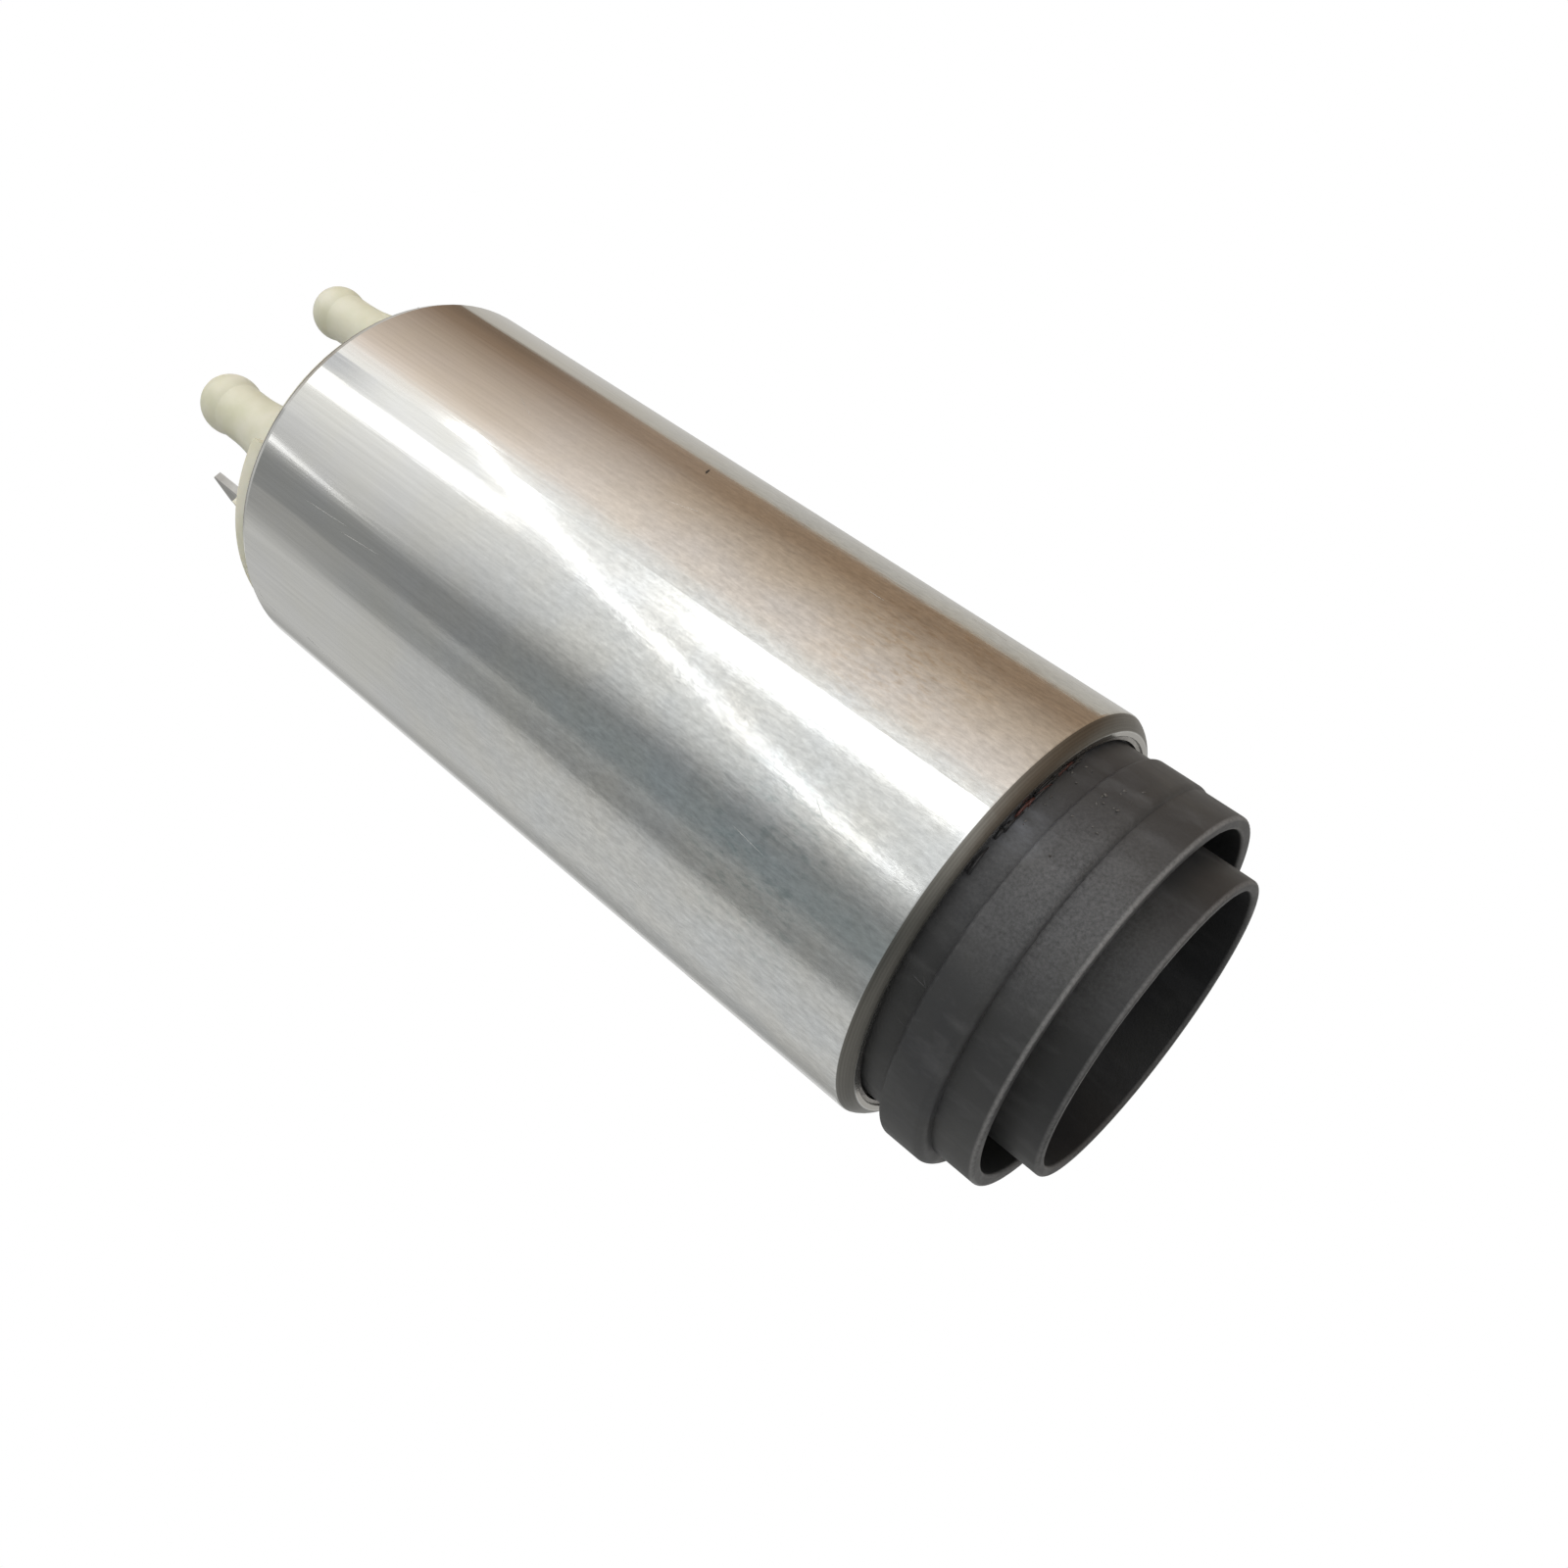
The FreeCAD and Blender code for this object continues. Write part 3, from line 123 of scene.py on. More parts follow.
# Name, first and last azimuth, how soft each edge is, elevations, colour
TENT_PANELS = (
    ("back window", 172, 188, 26, 12, ALL, (0.66, 0.66, 0.65)),
    ("left fold", -167, -162, 8, 14, ALL, (0.37, 0.37, 0.36)),
    ("low left board", -140, -98, 12, 6, LOW, (0.59, 0.59, 0.58)),
    ("upper grey edge", -84, -66, 14, 4, HIGH, (0.32, 0.32, 0.315)),
    ("grey board", -70, -54, 2.5, 27, ALL, (0.235, 0.24, 0.24)),
    ("grey edge", -89, -78, 3, 8, MIDDLE, (0.30, 0.305, 0.30)),
    ("upper pale board", -43, -24, 9, 6, HIGH, (0.48, 0.48, 0.475)),
    ("low board", -66, -60, 12, 18, LOW, (0.25, 0.275, 0.28)),
    ("low pale board", -28, 8, 12, 6, LOW, (0.72, 0.73, 0.72)),
    ("white board", 8, 30, 56, 8, ALL, (0.905, 0.905, 0.885)),
    ("cream board", 34, 90, 10, 4, ALL, (0.90, 0.81, 0.735)),
    ("warm wall", 90, 109, 58, 1.5, ALL, (0.315, 0.235, 0.175)),
    ("pale board", 109, 172, 0.5, 4, ALL, (0.49, 0.465, 0.42)),
    ("far pale board", 150, 172, 36, 4, ALL, (0.57, 0.56, 0.54)),
    ("low window", 6, 20, 5, 4, (-90, 31, 5), (1.75, 1.75, 1.73)),
)
# Shades hung in front of the panels: as above, but the colour darkens what is behind
TENT_SHADES = (
    ("warm shade", 42, 109, 16, 1.5, HIGH, (0.79, 0.755, 0.71)),
    ("corner shade", 102, 109, 10, 1.5, HIGH, (0.74, 0.74, 0.74)),
    ("upper notch", 10, 16, 3, 4, (48.4, 90, 1.2), (0.58, 0.59, 0.63)),
    ("low warm shade", 70, 109, 24, 1.5, LOW, (1.0, 0.94, 0.84)),
)
# Azimuth, elevation and width of the tube lamp's reflection along its length
TUBE_LAMP = (
    (26.5, 44.4, 3.0), (24.0, 43.4, 8.0), (17.0, 41.8, 7.5), (9.8, 40.0, 6.0), (4.4, 38.3, 5.0),
    (-1.0, 36.5, 4.5), (-5.4, 34.2, 4.2), (-9.7, 31.8, 4.0), (-14.1, 29.7, 3.8),
    (-18.4, 27.5, 3.6), (-22.8, 24.7, 3.4), (-26.0, 22.3, 3.0), (-29.6, 19.2, 2.2),
)
TUBE_STRENGTH = 2.6
# Name, sky corners (azimuth, elevation), strength
CARDS = (
    ("tall_window", ((-4, 40.5), (7, 40.5), (7.6, 62), (-5.8, 62)), 1.5),
    ("far_lamp", ((-47.4, 45), (-40.7, 50), (-38.5, 62), (-43.5, 62), (-44.6, 50)), 1.35),
)
CARD_RADIUS = TENT_RADIUS * 0.8
# Name, azimuth, elevation, distance, size, power in watts
LAMPS = (
    ("key", 14, 40, 0.6, 0.5, 1.9),
    ("fill", -120, 30, 0.7, 0.6, 0.35),
    ("top", 0, 89, 0.6, 0.7, 0.95),
    ("under", 6, -42, 0.6, 0.5, 1.3),
)
FLOOR_RADIUS = 1.4
FLOOR_COLOUR = (0.88, 0.88, 0.87)
# Distances from the pump between which the floor fades to the white page
FLOOR_FADE = (0.12, 0.48)


def direction(azimuth, elevation):
    """Unit vector towards a place on the sky."""
    level = math.cos(math.radians(elevation))
    return Vector((level * math.cos(math.radians(azimuth)),
                   level * math.sin(math.radians(azimuth)),
                   math.sin(math.radians(elevation))))


class Graph:
    """A material's nodes, added and linked by short calls."""

    def __init__(self, name):
        self.material = bpy.data.materials.new(name)
        self.material.use_nodes = True
        self.nodes = self.material.node_tree.nodes
        self.links = self.material.node_tree.links
        self.nodes.clear()

    def add(self, kind, inputs=(), **settings):
        node = self.nodes.new(kind)
        for key, value in settings.items():
            setattr(node, key, value)
        for socket, value in dict(inputs).items():
            self.feed(node.inputs[socket], value)
        return node

    def feed(self, socket, value):
        if isinstance(value, bpy.types.NodeSocket):
            self.links.new(value, socket)
        elif isinstance(value, tuple) and len(value) == 3 and len(socket.default_value) == 4:
            socket.default_value = (*value, 1.0)
        else:
            socket.default_value = value

    def point(self):
        """Place in the frame, in metres."""
        return self.add("ShaderNodeTexCoord").outputs["Object"]

    def split(self, vector):
        return self.add("ShaderNodeSeparateXYZ", {"Vector": vector}).outputs

    def reach(self, parts):
        """Distance from the pump's axis."""
        squares = [self.math("MULTIPLY", parts[axis], parts[axis]) for axis in ("X", "Y")]
        return self.math("SQRT", self.math("ADD", *squares))

    def near(self, point, place):
        """Distance from a place in the frame."""
        node = self.add("ShaderNodeVectorMath", {0: point, 1: place}, operation="DISTANCE")
        return node.outputs["Value"]

    def rims(self, parts, circles):
        """Distance from the nearest of some circles (radius, height) round the pump's axis."""
        node = self.add("ShaderNodeCombineXYZ", {"X": self.reach(parts), "Y": parts["Z"]})
        section = node.outputs["Vector"]
        nearest = 1.0
        for radius, height in circles:
            nearest = self.math("MINIMUM", self.near(section, (radius, height, 0.0)), nearest)
        return nearest

    def scaled(self, vector, x, y, z):
        node = self.add("ShaderNodeMapping", {"Vector": vector, "Scale": (x, y, z)})
        return node.outputs["Vector"]

    def noise(self, vector, size, detail=3.0, roughness=0.5):
        """Noise from 0 to 1 whose spots are about size metres across."""
        values = {"Vector": vector, "Scale": 1.0 / size, "Detail": detail, "Roughness": roughness}
        return self.add("ShaderNodeTexNoise", values).outputs["Fac"]

    def math(self, operation, first, second=0.0):
        node = self.add("ShaderNodeMath", {0: first, 1: second}, operation=operation)
        return node.outputs[0]

    def spread(self, value, low, high, out_low=0.0, out_high=1.0, smooth=False):
        """Value between low and high brought to the new range, held at its ends."""
        values = {"Value": value, "From Min": low, "From Max": high,
                  "To Min": out_low, "To Max": out_high}
        node = self.add("ShaderNodeMapRange", values,
                        interpolation_type="SMOOTHSTEP" if smooth else "LINEAR")
        return node.outputs["Result"]

    def blend(self, factor, first, second, blend_type="MIX"):
        node = self.add("ShaderNodeMix", data_type="RGBA", blend_type=blend_type)
        self.feed(node.inputs[0], factor)
        self.feed(node.inputs[6], first)
        self.feed(node.inputs[7], second)
        return node.outputs[2]

    def bump(self, height, distance, strength=1.0, normal=None):
        values = {"Height": height, "Distance": distance, "Strength": strength}
        if normal is not None:
            values["Normal"] = normal
        return self.add("ShaderNodeBump", values).outputs["Normal"]

    def finish(self, **inputs):
        """Adds the surface shader and returns the finished material."""
        values = {name.replace("_", " "): value for name, value in inputs.items()}
        shader = self.add("ShaderNodeBsdfPrincipled", values)
        return self.close(shader.outputs["BSDF"])

    def glow(self, colour, strength):
        """Makes the surface a light and returns the finished material."""
        shader = self.add("ShaderNodeEmission", {"Color": colour, "Strength": strength})
        return self.close(shader.outputs["Emission"])

    def close(self, surface):
        output = self.add("ShaderNodeOutputMaterial")
        self.links.new(surface, output.inputs["Surface"])
        return self.material


def brushed_can():
    """Drawn aluminium: bright at the outlet end, grainy towards the lip, dull on the lip."""
    graph = Graph("drawn_aluminium")
    point = graph.point()
    parts = graph.split(point)
    height = parts["Z"]
    radius = graph.reach(parts)
    worn = graph.spread(height, SMOOTH_ABOVE, GRAINY_BELOW)
    streak = graph.noise(graph.scaled(point, 1, 1, 0.03), 0.35 * MM)
    wide_streak = graph.noise(graph.scaled(point, 1, 1, 0.06), 2.2 * MM)
    grain = graph.noise(graph.scaled(point, 1, 1, 0.4), 0.42 * MM, detail=5, roughness=0.65)
    blotch = graph.noise(point, 7 * MM)
    cool = graph.blend(worn, (0.885, 0.885, 0.875), (0.865, 0.885, 0.89))
    tint = graph.blend(graph.spread(blotch, 0.35, 0.65), cool, (0.89, 0.885, 0.85))
    mottle = graph.math("MULTIPLY", graph.spread(grain, 0.72, 0.30), worn)
    dull = graph.math("MULTIPLY", graph.spread(streak, 0.25, 0.75, 0.88, 1.0),
                      graph.spread(mottle, 0, 1, 1.0, 0.72))
    wall = graph.blend(1.0, tint, dull, "MULTIPLY")
    fleck = graph.noise(graph.scaled(point, 1, 1, 0.35), 0.6 * MM, detail=6, roughness=0.7)
    for place, patch_tone in STAINS:
        patch = graph.math("MULTIPLY", graph.spread(graph.near(point, place), 11 * MM, 4 * MM),
                           graph.spread(fleck, 0.50, 0.64))
        wall = graph.blend(graph.math("MULTIPLY", patch, 0.6), wall, patch_tone, "MULTIPLY")
    across = graph.add("ShaderNodeCombineXYZ", {"X": radius}).outputs["Vector"]
    lathe = graph.noise(across, 0.09 * MM)
    slope = graph.math("MULTIPLY", graph.spread(height, LIP_CORNER, LIP_CORNER - 0.08 * MM),
                       graph.spread(radius, LIP_EDGE - 0.06 * MM, LIP_EDGE + 0.06 * MM))
    rolled = graph.blend(graph.spread(lathe, 0.3, 0.7), (0.205, 0.198, 0.178), (0.105, 0.10, 0.09))
    colour = graph.blend(slope, wall, rolled)
    flat = graph.math("MULTIPLY", graph.spread(height, LIP_FLAT, LIP_FLAT - 0.10 * MM),
                      graph.spread(radius, LIP_EDGE, LIP_EDGE - 0.12 * MM))
    colour = graph.blend(flat, colour, (0.42, 0.41, 0.385))
    swaged = graph.spread(height, SWAGE_TOP, SWAGE_TOP + 0.12 * MM)
    colour = graph.blend(swaged, colour, (0.40, 0.38, 0.35))
    rough = graph.math("ADD", graph.spread(worn, 0, 1, 0.085, 0.115),
                       graph.spread(wide_streak, 0.3, 0.7, -0.01, 0.03))
    rough = graph.math("ADD", rough, graph.math("MULTIPLY", slope, 0.24))
    relief = graph.math("MULTIPLY", grain, graph.spread(worn, 0, 1, 0.12, 1.0))
    normal = graph.bump(relief, 0.0075 * MM, normal=graph.bump(streak, 0.004 * MM))
    normal = graph.bump(graph.math("MULTIPLY", lathe, slope), 0.02 * MM, normal=normal)
    return graph.finish(Base_Color=colour, Metallic=1.0, Roughness=rough, Normal=normal)


def black_moulding():
    """Matt black plastic with mould grain, settled dust that is partly painted light, a painted
    bluish sheen on the neck and painted highlights along the rims.
    """
    graph = Graph("black_plastic")
    point = graph.point()
    parts = graph.split(point)
    cloud = graph.noise(point, 7 * MM)
    grain = graph.noise(point, 0.12 * MM, detail=4)
    powder = graph.noise(point, 0.3 * MM, detail=5, roughness=0.7)
    smear = graph.noise(graph.scaled(point, 1, 1, 0.35), 2.5 * MM, detail=6, roughness=0.65)
    base = graph.blend(graph.spread(cloud, 0.35, 0.65),
                       (0.0222, 0.0227, 0.0243), (0.0285, 0.0285, 0.028))
    dust_and_painted_light = graph.blend(graph.spread(smear, 0.50, 0.80, 0.0, 0.30), base, (0.115, 0.115, 0.118))
    # A pale speckled patch round this place: settled dust, and painted light that brightens this
    # side of the skirt
    near_dust_and_light = graph.spread(graph.near(point, DUST_AND_LIGHT_PLACE), 11 * MM, 3 * MM)
    settled_dust_and_light = graph.math("MULTIPLY", near_dust_and_light, graph.spread(powder, 0.30, 0.85))
    dust_and_painted_light = graph.blend(graph.math("MULTIPLY", settled_dust_and_light, 0.55), dust_and_painted_light, (0.145, 0.145, 0.149))
    # Painted sheen: a paler bluish patch on the neck, broken up by the smear noise
    near_neck_sheen = graph.spread(graph.near(point, NECK_SHEEN_PLACE), 3.4 * MM, 0.8 * MM)
    neck_sheen = graph.math("MULTIPLY", near_neck_sheen, graph.spread(smear, 0.35, 0.65))
    dust_and_painted_light = graph.blend(graph.math("MULTIPLY", neck_sheen, 0.7), dust_and_painted_light, (0.115, 0.122, 0.138))
    # Painted highlight: thin speckled lines along the rims, made paler than the plastic
    rim_highlight = graph.spread(graph.rims(parts, RIM_HIGHLIGHT_CIRCLES), 0.34 * MM, 0.10 * MM)
    rim_highlight = graph.math("MULTIPLY", rim_highlight, graph.spread(powder, 0.05, 0.60))
    colour = graph.blend(graph.math("MULTIPLY", rim_highlight, 0.75), dust_and_painted_light, (0.18, 0.177, 0.175))
    rough = graph.spread(smear, 0.3, 0.8, 0.42, 0.62)
    normal = graph.bump(powder, 0.02 * MM, 0.5, graph.bump(grain, 0.02 * MM, 0.6))
    return graph.finish(Base_Color=colour, Roughness=rough, Normal=normal, Specular_IOR_Level=0.38)


def cream_moulding():
    """Cream plastic with a satin face and olive patches laid at random, a painted stand-in for the
    shade on its undersides.
    """
    graph = Graph("cream_plastic")
    point = graph.point()
    patch_tone = graph.noise(point, 4 * MM, detail=5)
    grain = graph.noise(point, 0.2 * MM)
    # Painted shade: the olive second colour stands in for the shade on the undersides, spread at
    # random by the patch noise
    colour = graph.blend(graph.spread(patch_tone, 0.35, 0.75),
                         (0.52, 0.505, 0.425), (0.432, 0.428, 0.31))
    rough = graph.spread(patch_tone, 0.3, 0.7, 0.36, 0.50)
    return graph.finish(Base_Color=colour, Roughness=rough, Normal=graph.bump(grain, 0.01 * MM),
                        Subsurface_Weight=0.12, Subsurface_Radius=(2 * MM, 1.4 * MM, 0.8 * MM),
                        Subsurface_Scale=1.0)


def metal(name, light, dark, rough, grain_size, stretch=1.0, relief=0.01):
    """Bare metal with grain, stretched along the axis where it was drawn or turned."""
    graph = Graph(name)
    point = graph.point()
    grain = graph.noise(graph.scaled(point, 1, 1, stretch), grain_size * MM, detail=4)
    tarnish = graph.noise(point, 5 * MM)
    colour = graph.blend(graph.spread(tarnish, 0.35, 0.7), light, dark)
    uneven = graph.spread(grain, 0.3, 0.7, rough * 0.8, rough * 1.25)
    return graph.finish(Base_Color=colour, Metallic=1.0, Roughness=uneven,
                        Normal=graph.bump(grain, relief * MM))


def matt(name, light, dark, rough, grain_size, relief=0.02):
    """Plastic, rubber, carbon or fired material with a fine even grain."""
    graph = Graph(name)
    point = graph.point()
    grain = graph.noise(point, grain_size * MM, detail=4)
    cloud = graph.noise(point, 3 * MM)
    colour = graph.blend(graph.spread(cloud, 0.35, 0.65), light, dark)
    uneven = graph.spread(grain, 0.3, 0.7, rough * 0.85, rough * 1.1)
    return graph.finish(Base_Color=colour, Roughness=uneven, Normal=graph.bump(grain, relief * MM))


def banded(name, light, dark, pitch, metallic, rough):
    """Stacked layers across the axis, such as laminations or a choke's turns of wire."""
    graph = Graph(name)
    point = graph.point()
    height = graph.split(point)["Z"]
    wave = graph.math("SINE", graph.math("MULTIPLY", height, math.tau / (pitch * MM)))
    edge = graph.spread(wave, -1.0, -0.6)
    cloud = graph.noise(point, 2 * MM)
    worn = tuple(0.8 * part for part in light)
    shade = graph.blend(graph.spread(cloud, 0.35, 0.65), light, worn)
    colour = graph.blend(edge, dark, shade)
    return graph.finish(Base_Color=colour, Metallic=metallic, Roughness=rough,
                        Normal=graph.bump(edge, pitch * 0.2 * MM))


def enamelled_wire():
    """Bundled copper wire: fine strands running round the axis."""
    graph = Graph("enamelled_copper")
    point = graph.point()
    parts = graph.split(point)
    lay = graph.math("ADD", graph.reach(parts), graph.math("MULTIPLY", parts["Z"], 0.7))
    wobble = graph.math("MULTIPLY", graph.noise(point, 2 * MM), 1.2 * MM)
    lay = graph.math("ADD", lay, wobble)
    strand = graph.math("SINE", graph.math("MULTIPLY", lay, math.tau / (0.45 * MM)))
    colour = graph.blend(graph.spread(strand, -1, 1), (0.25, 0.07, 0.03), (0.72, 0.27, 0.11))
    return graph.finish(Base_Color=colour, Metallic=0.85, Roughness=0.32,
                        Normal=graph.bump(strand, 0.12 * MM))


def paint_nodes():
    """Gives every CAD node its finish."""
    steel = ((0.62, 0.62, 0.63), (0.50, 0.50, 0.51))
    bronze = ((0.58, 0.42, 0.22), (0.42, 0.29, 0.15))
    finishes = (
        (brushed_can(), ("shell",)),
        (black_moulding(), ("inlet_cap",)),
        (cream_moulding(), ("outlet_cover",)),
        (metal("rolled_steel", (0.40, 0.39, 0.37), (0.24, 0.225, 0.21), 0.32, 0.2, relief=0.03), (
            "retaining_ring", "magnet_clips")),
        (metal("tinned_blade", (0.55, 0.54, 0.52), (0.34, 0.33, 0.31), 0.38, 0.15, 0.2), (
            "terminal_left", "terminal_right")),
        (metal("die_cast_aluminium", (0.70,) * 3, (0.58, 0.58, 0.59), 0.34, 0.25, relief=0.02), (
            "inlet_plate", "outlet_plate")),
        (metal("ground_steel", *steel, 0.16, 0.08, 6.0, 0.004), ("shaft", "relief_valve_ball")),
        (metal("plain_steel_tube", (0.46, 0.46, 0.47), (0.36, 0.36, 0.37), 0.38, 0.4, 0.1), (
            "flux_ring",)),
        (metal("spring_wire", *steel, 0.22, 0.1), (
            "brush_spring_left", "brush_spring_right",
            "check_valve_spring", "relief_valve_spring")),
        (metal("sintered_bronze", *bronze, 0.45, 0.12, relief=0.03), (
            "lower_bush", "upper_bush", "thrust_washer_lower", "thrust_washer_upper")),
        (metal("turned_brass", (0.78, 0.60, 0.30), (0.66, 0.49, 0.24), 0.26, 0.1, 5.0), (
            "spring_cap_left", "spring_cap_right", "check_valve_seat", "relief_valve_seat")),
        (matt("seal_rubber", (0.022, 0.022, 0.022), (0.035, 0.034, 0.033), 0.55, 0.1), (
            "inlet_o_ring", "cover_o_ring", "check_valve_seal")),
        (matt("fired_ceramic", (0.82, 0.81, 0.77), (0.74, 0.73, 0.69), 0.25, 0.3, 0.004), (
            "thrust_pad",)),
        (matt("brown_phenolic", (0.17, 0.095, 0.055), (0.11, 0.062, 0.038), 0.42, 0.15), (
            "impeller",)),
        (matt("green_insulation", (0.06, 0.22, 0.15), (0.04, 0.16, 0.11), 0.50, 0.2), (
            "slot_insulator_lower", "slot_insulator_upper")),
        (matt("dark_moulding", (0.055, 0.055, 0.06), (0.040, 0.040, 0.044), 0.48, 0.15), (
            "brush_holder", "commutator_hub")),
        (matt("pressed_carbon", (0.040, 0.040, 0.043), (0.025, 0.025, 0.027), 0.36, 0.08, 0.01), (
            "commutator_segments", "brush_left", "brush_right")),
        (matt("dark_ferrite", (0.085, 0.085, 0.095), (0.055, 0.055, 0.062), 0.40, 0.12), (
            "magnet_north", "magnet_south", "choke_core_left", "choke_core_right")),
        (matt("natural_moulding", (0.66, 0.63, 0.54), (0.56, 0.53, 0.45), 0.40, 0.2), (
            "check_valve_poppet",)),
        (banded("laminated_steel", (0.40, 0.40, 0.41), (0.16, 0.16, 0.17), 0.5, 1.0, 0.36), (
            "armature_core",)),
        (banded("choke_wire", (0.70, 0.27, 0.11), (0.24, 0.08, 0.035), 0.47, 0.85, 0.30), (
            "choke_coil_left", "choke_coil_right")),
        (enamelled_wire(), ("windings",)),
    )
    for material, names in finishes:
        for name in names:
            node = frame["nodes"][name]
            node.data.materials.clear()
            node.data.materials.append(material)


def wall_point(radius, angle, height, shift=0.0):
    """Place on a round wall, in millimetres and degrees; shift moves its axis along Y."""
    turn = math.radians(angle)
    return Vector((radius * math.cos(turn), shift + radius * math.sin(turn), height)) * MM


def mesh_object(name, mesh_data, material):
    thing = bpy.data.objects.new(name, mesh_data)
    thing.data.materials.append(material)
    bpy.context.scene.collection.objects.link(thing)
    return thing


def hairline(shape, radius, path, width, lift=0.012):
    """Raised edge of a scratch: a closed sliver on a round wall, through (angle, height) places."""
    crests = [wall_point(radius + lift, *spot) for spot in path]
    feet = [wall_point(radius - SUNK, *spot) for spot in path]
    rows = []
    for index, (crest, foot) in enumerate(zip(crests, feet)):
        along = crests[min(index + 1, len(crests) - 1)] - crests[max(index - 1, 0)]
        side = along.cross(crest - foot).normalized()
        half = width * MM / 2 * (0.15 if index in (0, len(crests) - 1) else 1.0)
        corners = (foot - side * half, crest, foot + side * half)
        rows.append([shape.verts.new(corner) for corner in corners])
    for row, next_row in zip(rows, rows[1:]):
        for k in range(3):
            shape.faces.new((row[k], row[(k + 1) % 3], next_row[(k + 1) % 3], next_row[k]))
    shape.faces.new(reversed(rows[0]))
    shape.faces.new(rows[-1])


def new_piece(name, shape, material):
    """Turns finished mesh work into a piece of the housing."""
    bmesh.ops.recalc_face_normals(shape, faces=shape.faces)
    data = bpy.data.meshes.new(name)
    shape.to_mesh(data)
    shape.free()
    for face in data.polygons:
        face.use_smooth = True
    thing = mesh_object(name, data, material)
    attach(thing, "housing")
    return thing


def cap_scratches():
    """Scratches on the cap's neck and skirt."""
    shape = bmesh.new()
    on_neck = (
        (((-40.4, 14.7), (-40.6, 14.1), (-40.9, 13.4), (-41.2, 12.8)), 0.11),
        (((-39.0, 13.6), (-40.0, 13.3), (-41.0, 12.95), (-42.6, 12.7)), 0.10),
        (((-52.0, 14.2), (-53.0, 13.6), (-53.6, 12.9)), 0.08),
    )
    for path, width in on_neck:
        hairline(shape, NECK_RADIUS, path, width)
    dice = random.Random(5)
    skirt_count = 16
    for _ in range(skirt_count):
        angle, height = dice.uniform(-180, 180), dice.uniform(4.6, 7.3)
        lean, drop = dice.uniform(-4, 4), dice.uniform(-0.7, 0.7)
        path = [(angle + lean * k, height + drop * k) for k in (0, 0.35, 0.7, 1)]
        hairline(shape, SKIRT_RADIUS, path, 0.06)
    new_piece("cap_scratches", shape, matt(
        "scuffed_plastic", (0.072, 0.072, 0.074), (0.050, 0.050, 0.051), 0.60, 0.2, 0.005))


def can_scratches():
    """Handling scratches and one dark nick on the can."""
    count, lowest, highest = 34, 18, 98
    shape = bmesh.new()
    dice = random.Random(11)
    for _ in range(count):
        angle, height = dice.uniform(-180, 180), dice.uniform(24, 96)
        lean, rise = dice.uniform(-5, 5), dice.uniform(-7, 7)
        path = [(angle + lean * k, min(max(height + rise * k, lowest), highest))
                for k in (0, 0.25, 0.5, 0.75, 1)]
        hairline(shape, CAN_RADIUS, path, dice.uniform(0.035, 0.06), 0.006)
    new_piece("can_scratches", shape, metal(
        "scratched_aluminium", (0.80, 0.80, 0.79), (0.60, 0.60, 0.60), 0.34, 0.1))
    shape = bmesh.new()
    nick = ((35.6, 60.6), (37.0, 60.9), (38.4, 61.1), (39.6, 61.3))
    hairline(shape, CAN_RADIUS, nick, 0.30, 0.006)
    new_piece("can_nick", shape, metal(
        "dark_nick", (0.10, 0.09, 0.085), (0.06, 0.055, 0.05), 0.5, 0.1))


def neck_burrs():
    """Shavings of plastic that the rolled lip has pared off the cap's neck."""
    dice = random.Random(3)
    burrs = (
        ("dark_burrs", 26, (-14, 32), matt(
            "pared_black", (0.016, 0.016, 0.017), (0.010, 0.010, 0.010), 0.5, 0.1)),
        ("maroon_burrs", 10, (4, 24), matt(
            "pared_maroon", (0.055, 0.017, 0.013), (0.026, 0.010, 0.009), 0.42, 0.1)),
    )
    for name, count, angles, material in burrs:
        shape = bmesh.new()
        for _ in range(count):
            angle = dice.uniform(*angles)
            span, drop = dice.uniform(2.5, 9.0), dice.uniform(0.0, 0.22)
            top, width = dice.uniform(15.25, 15.6), dice.uniform(0.12, 0.30)
            radius = dice.uniform(0.05, 0.22) + NECK_RADIUS
            rows = []
            for k in (0, 0.3, 0.6, 1):
                turn, height = angle + span * k, top - drop * k
                bulged = radius + 0.18 * math.sin(k * math.pi)
                high = wall_point(bulged, turn, height)
                low = wall_point(bulged - 0.08, turn, height - width * (1 - 0.8 * k))
                rows.append((shape.verts.new(high), shape.verts.new(low)))
            for (high, low), (next_high, next_low) in zip(rows, rows[1:]):
                shape.faces.new((high, low, next_low, next_high))
        piece = new_piece(name, shape, material)
        piece.modifiers.new("thickness", "SOLIDIFY").thickness = 0.05 * MM


def rib_crumbs():
    """Crumbs of swarf and dirt stuck to the cap's rib and neck."""
    shape = bmesh.new()
    dice = random.Random(8)
    count, on_rib = 26, 17
    for index in range(count):
        size = dice.uniform(0.06, 0.17) * MM
        if index < on_rib:
            turn, height = dice.uniform(2, 34), dice.uniform(9.2, 11.9)
            place = wall_point(RIB_RADIUS, turn, height, -RIB_OFFSET)
        else:
            turn, height = dice.uniform(4, 34), dice.uniform(13.0, 15.0)
            place = wall_point(NECK_RADIUS, turn, height)
        turned = Matrix.Rotation(dice.uniform(0, math.tau), 4,
                                 Vector((dice.random(), dice.random(), 1)))
        squash = Matrix.Diagonal((dice.uniform(0.6, 1.5), dice.uniform(0.5, 1.0),
                                  dice.uniform(0.4, 0.9), 1))
        lump = bmesh.ops.create_icosphere(shape, subdivisions=2, radius=size,
                                          matrix=Matrix.Translation(place) @ turned @ squash)
        for vertex in lump["verts"]:
            vertex.co += (vertex.co - place) * dice.uniform(-0.25, 0.25)
    new_piece("rib_crumbs", shape, matt(
        "crumbs", (0.10, 0.095, 0.088), (0.030, 0.028, 0.026), 0.5, 0.3))


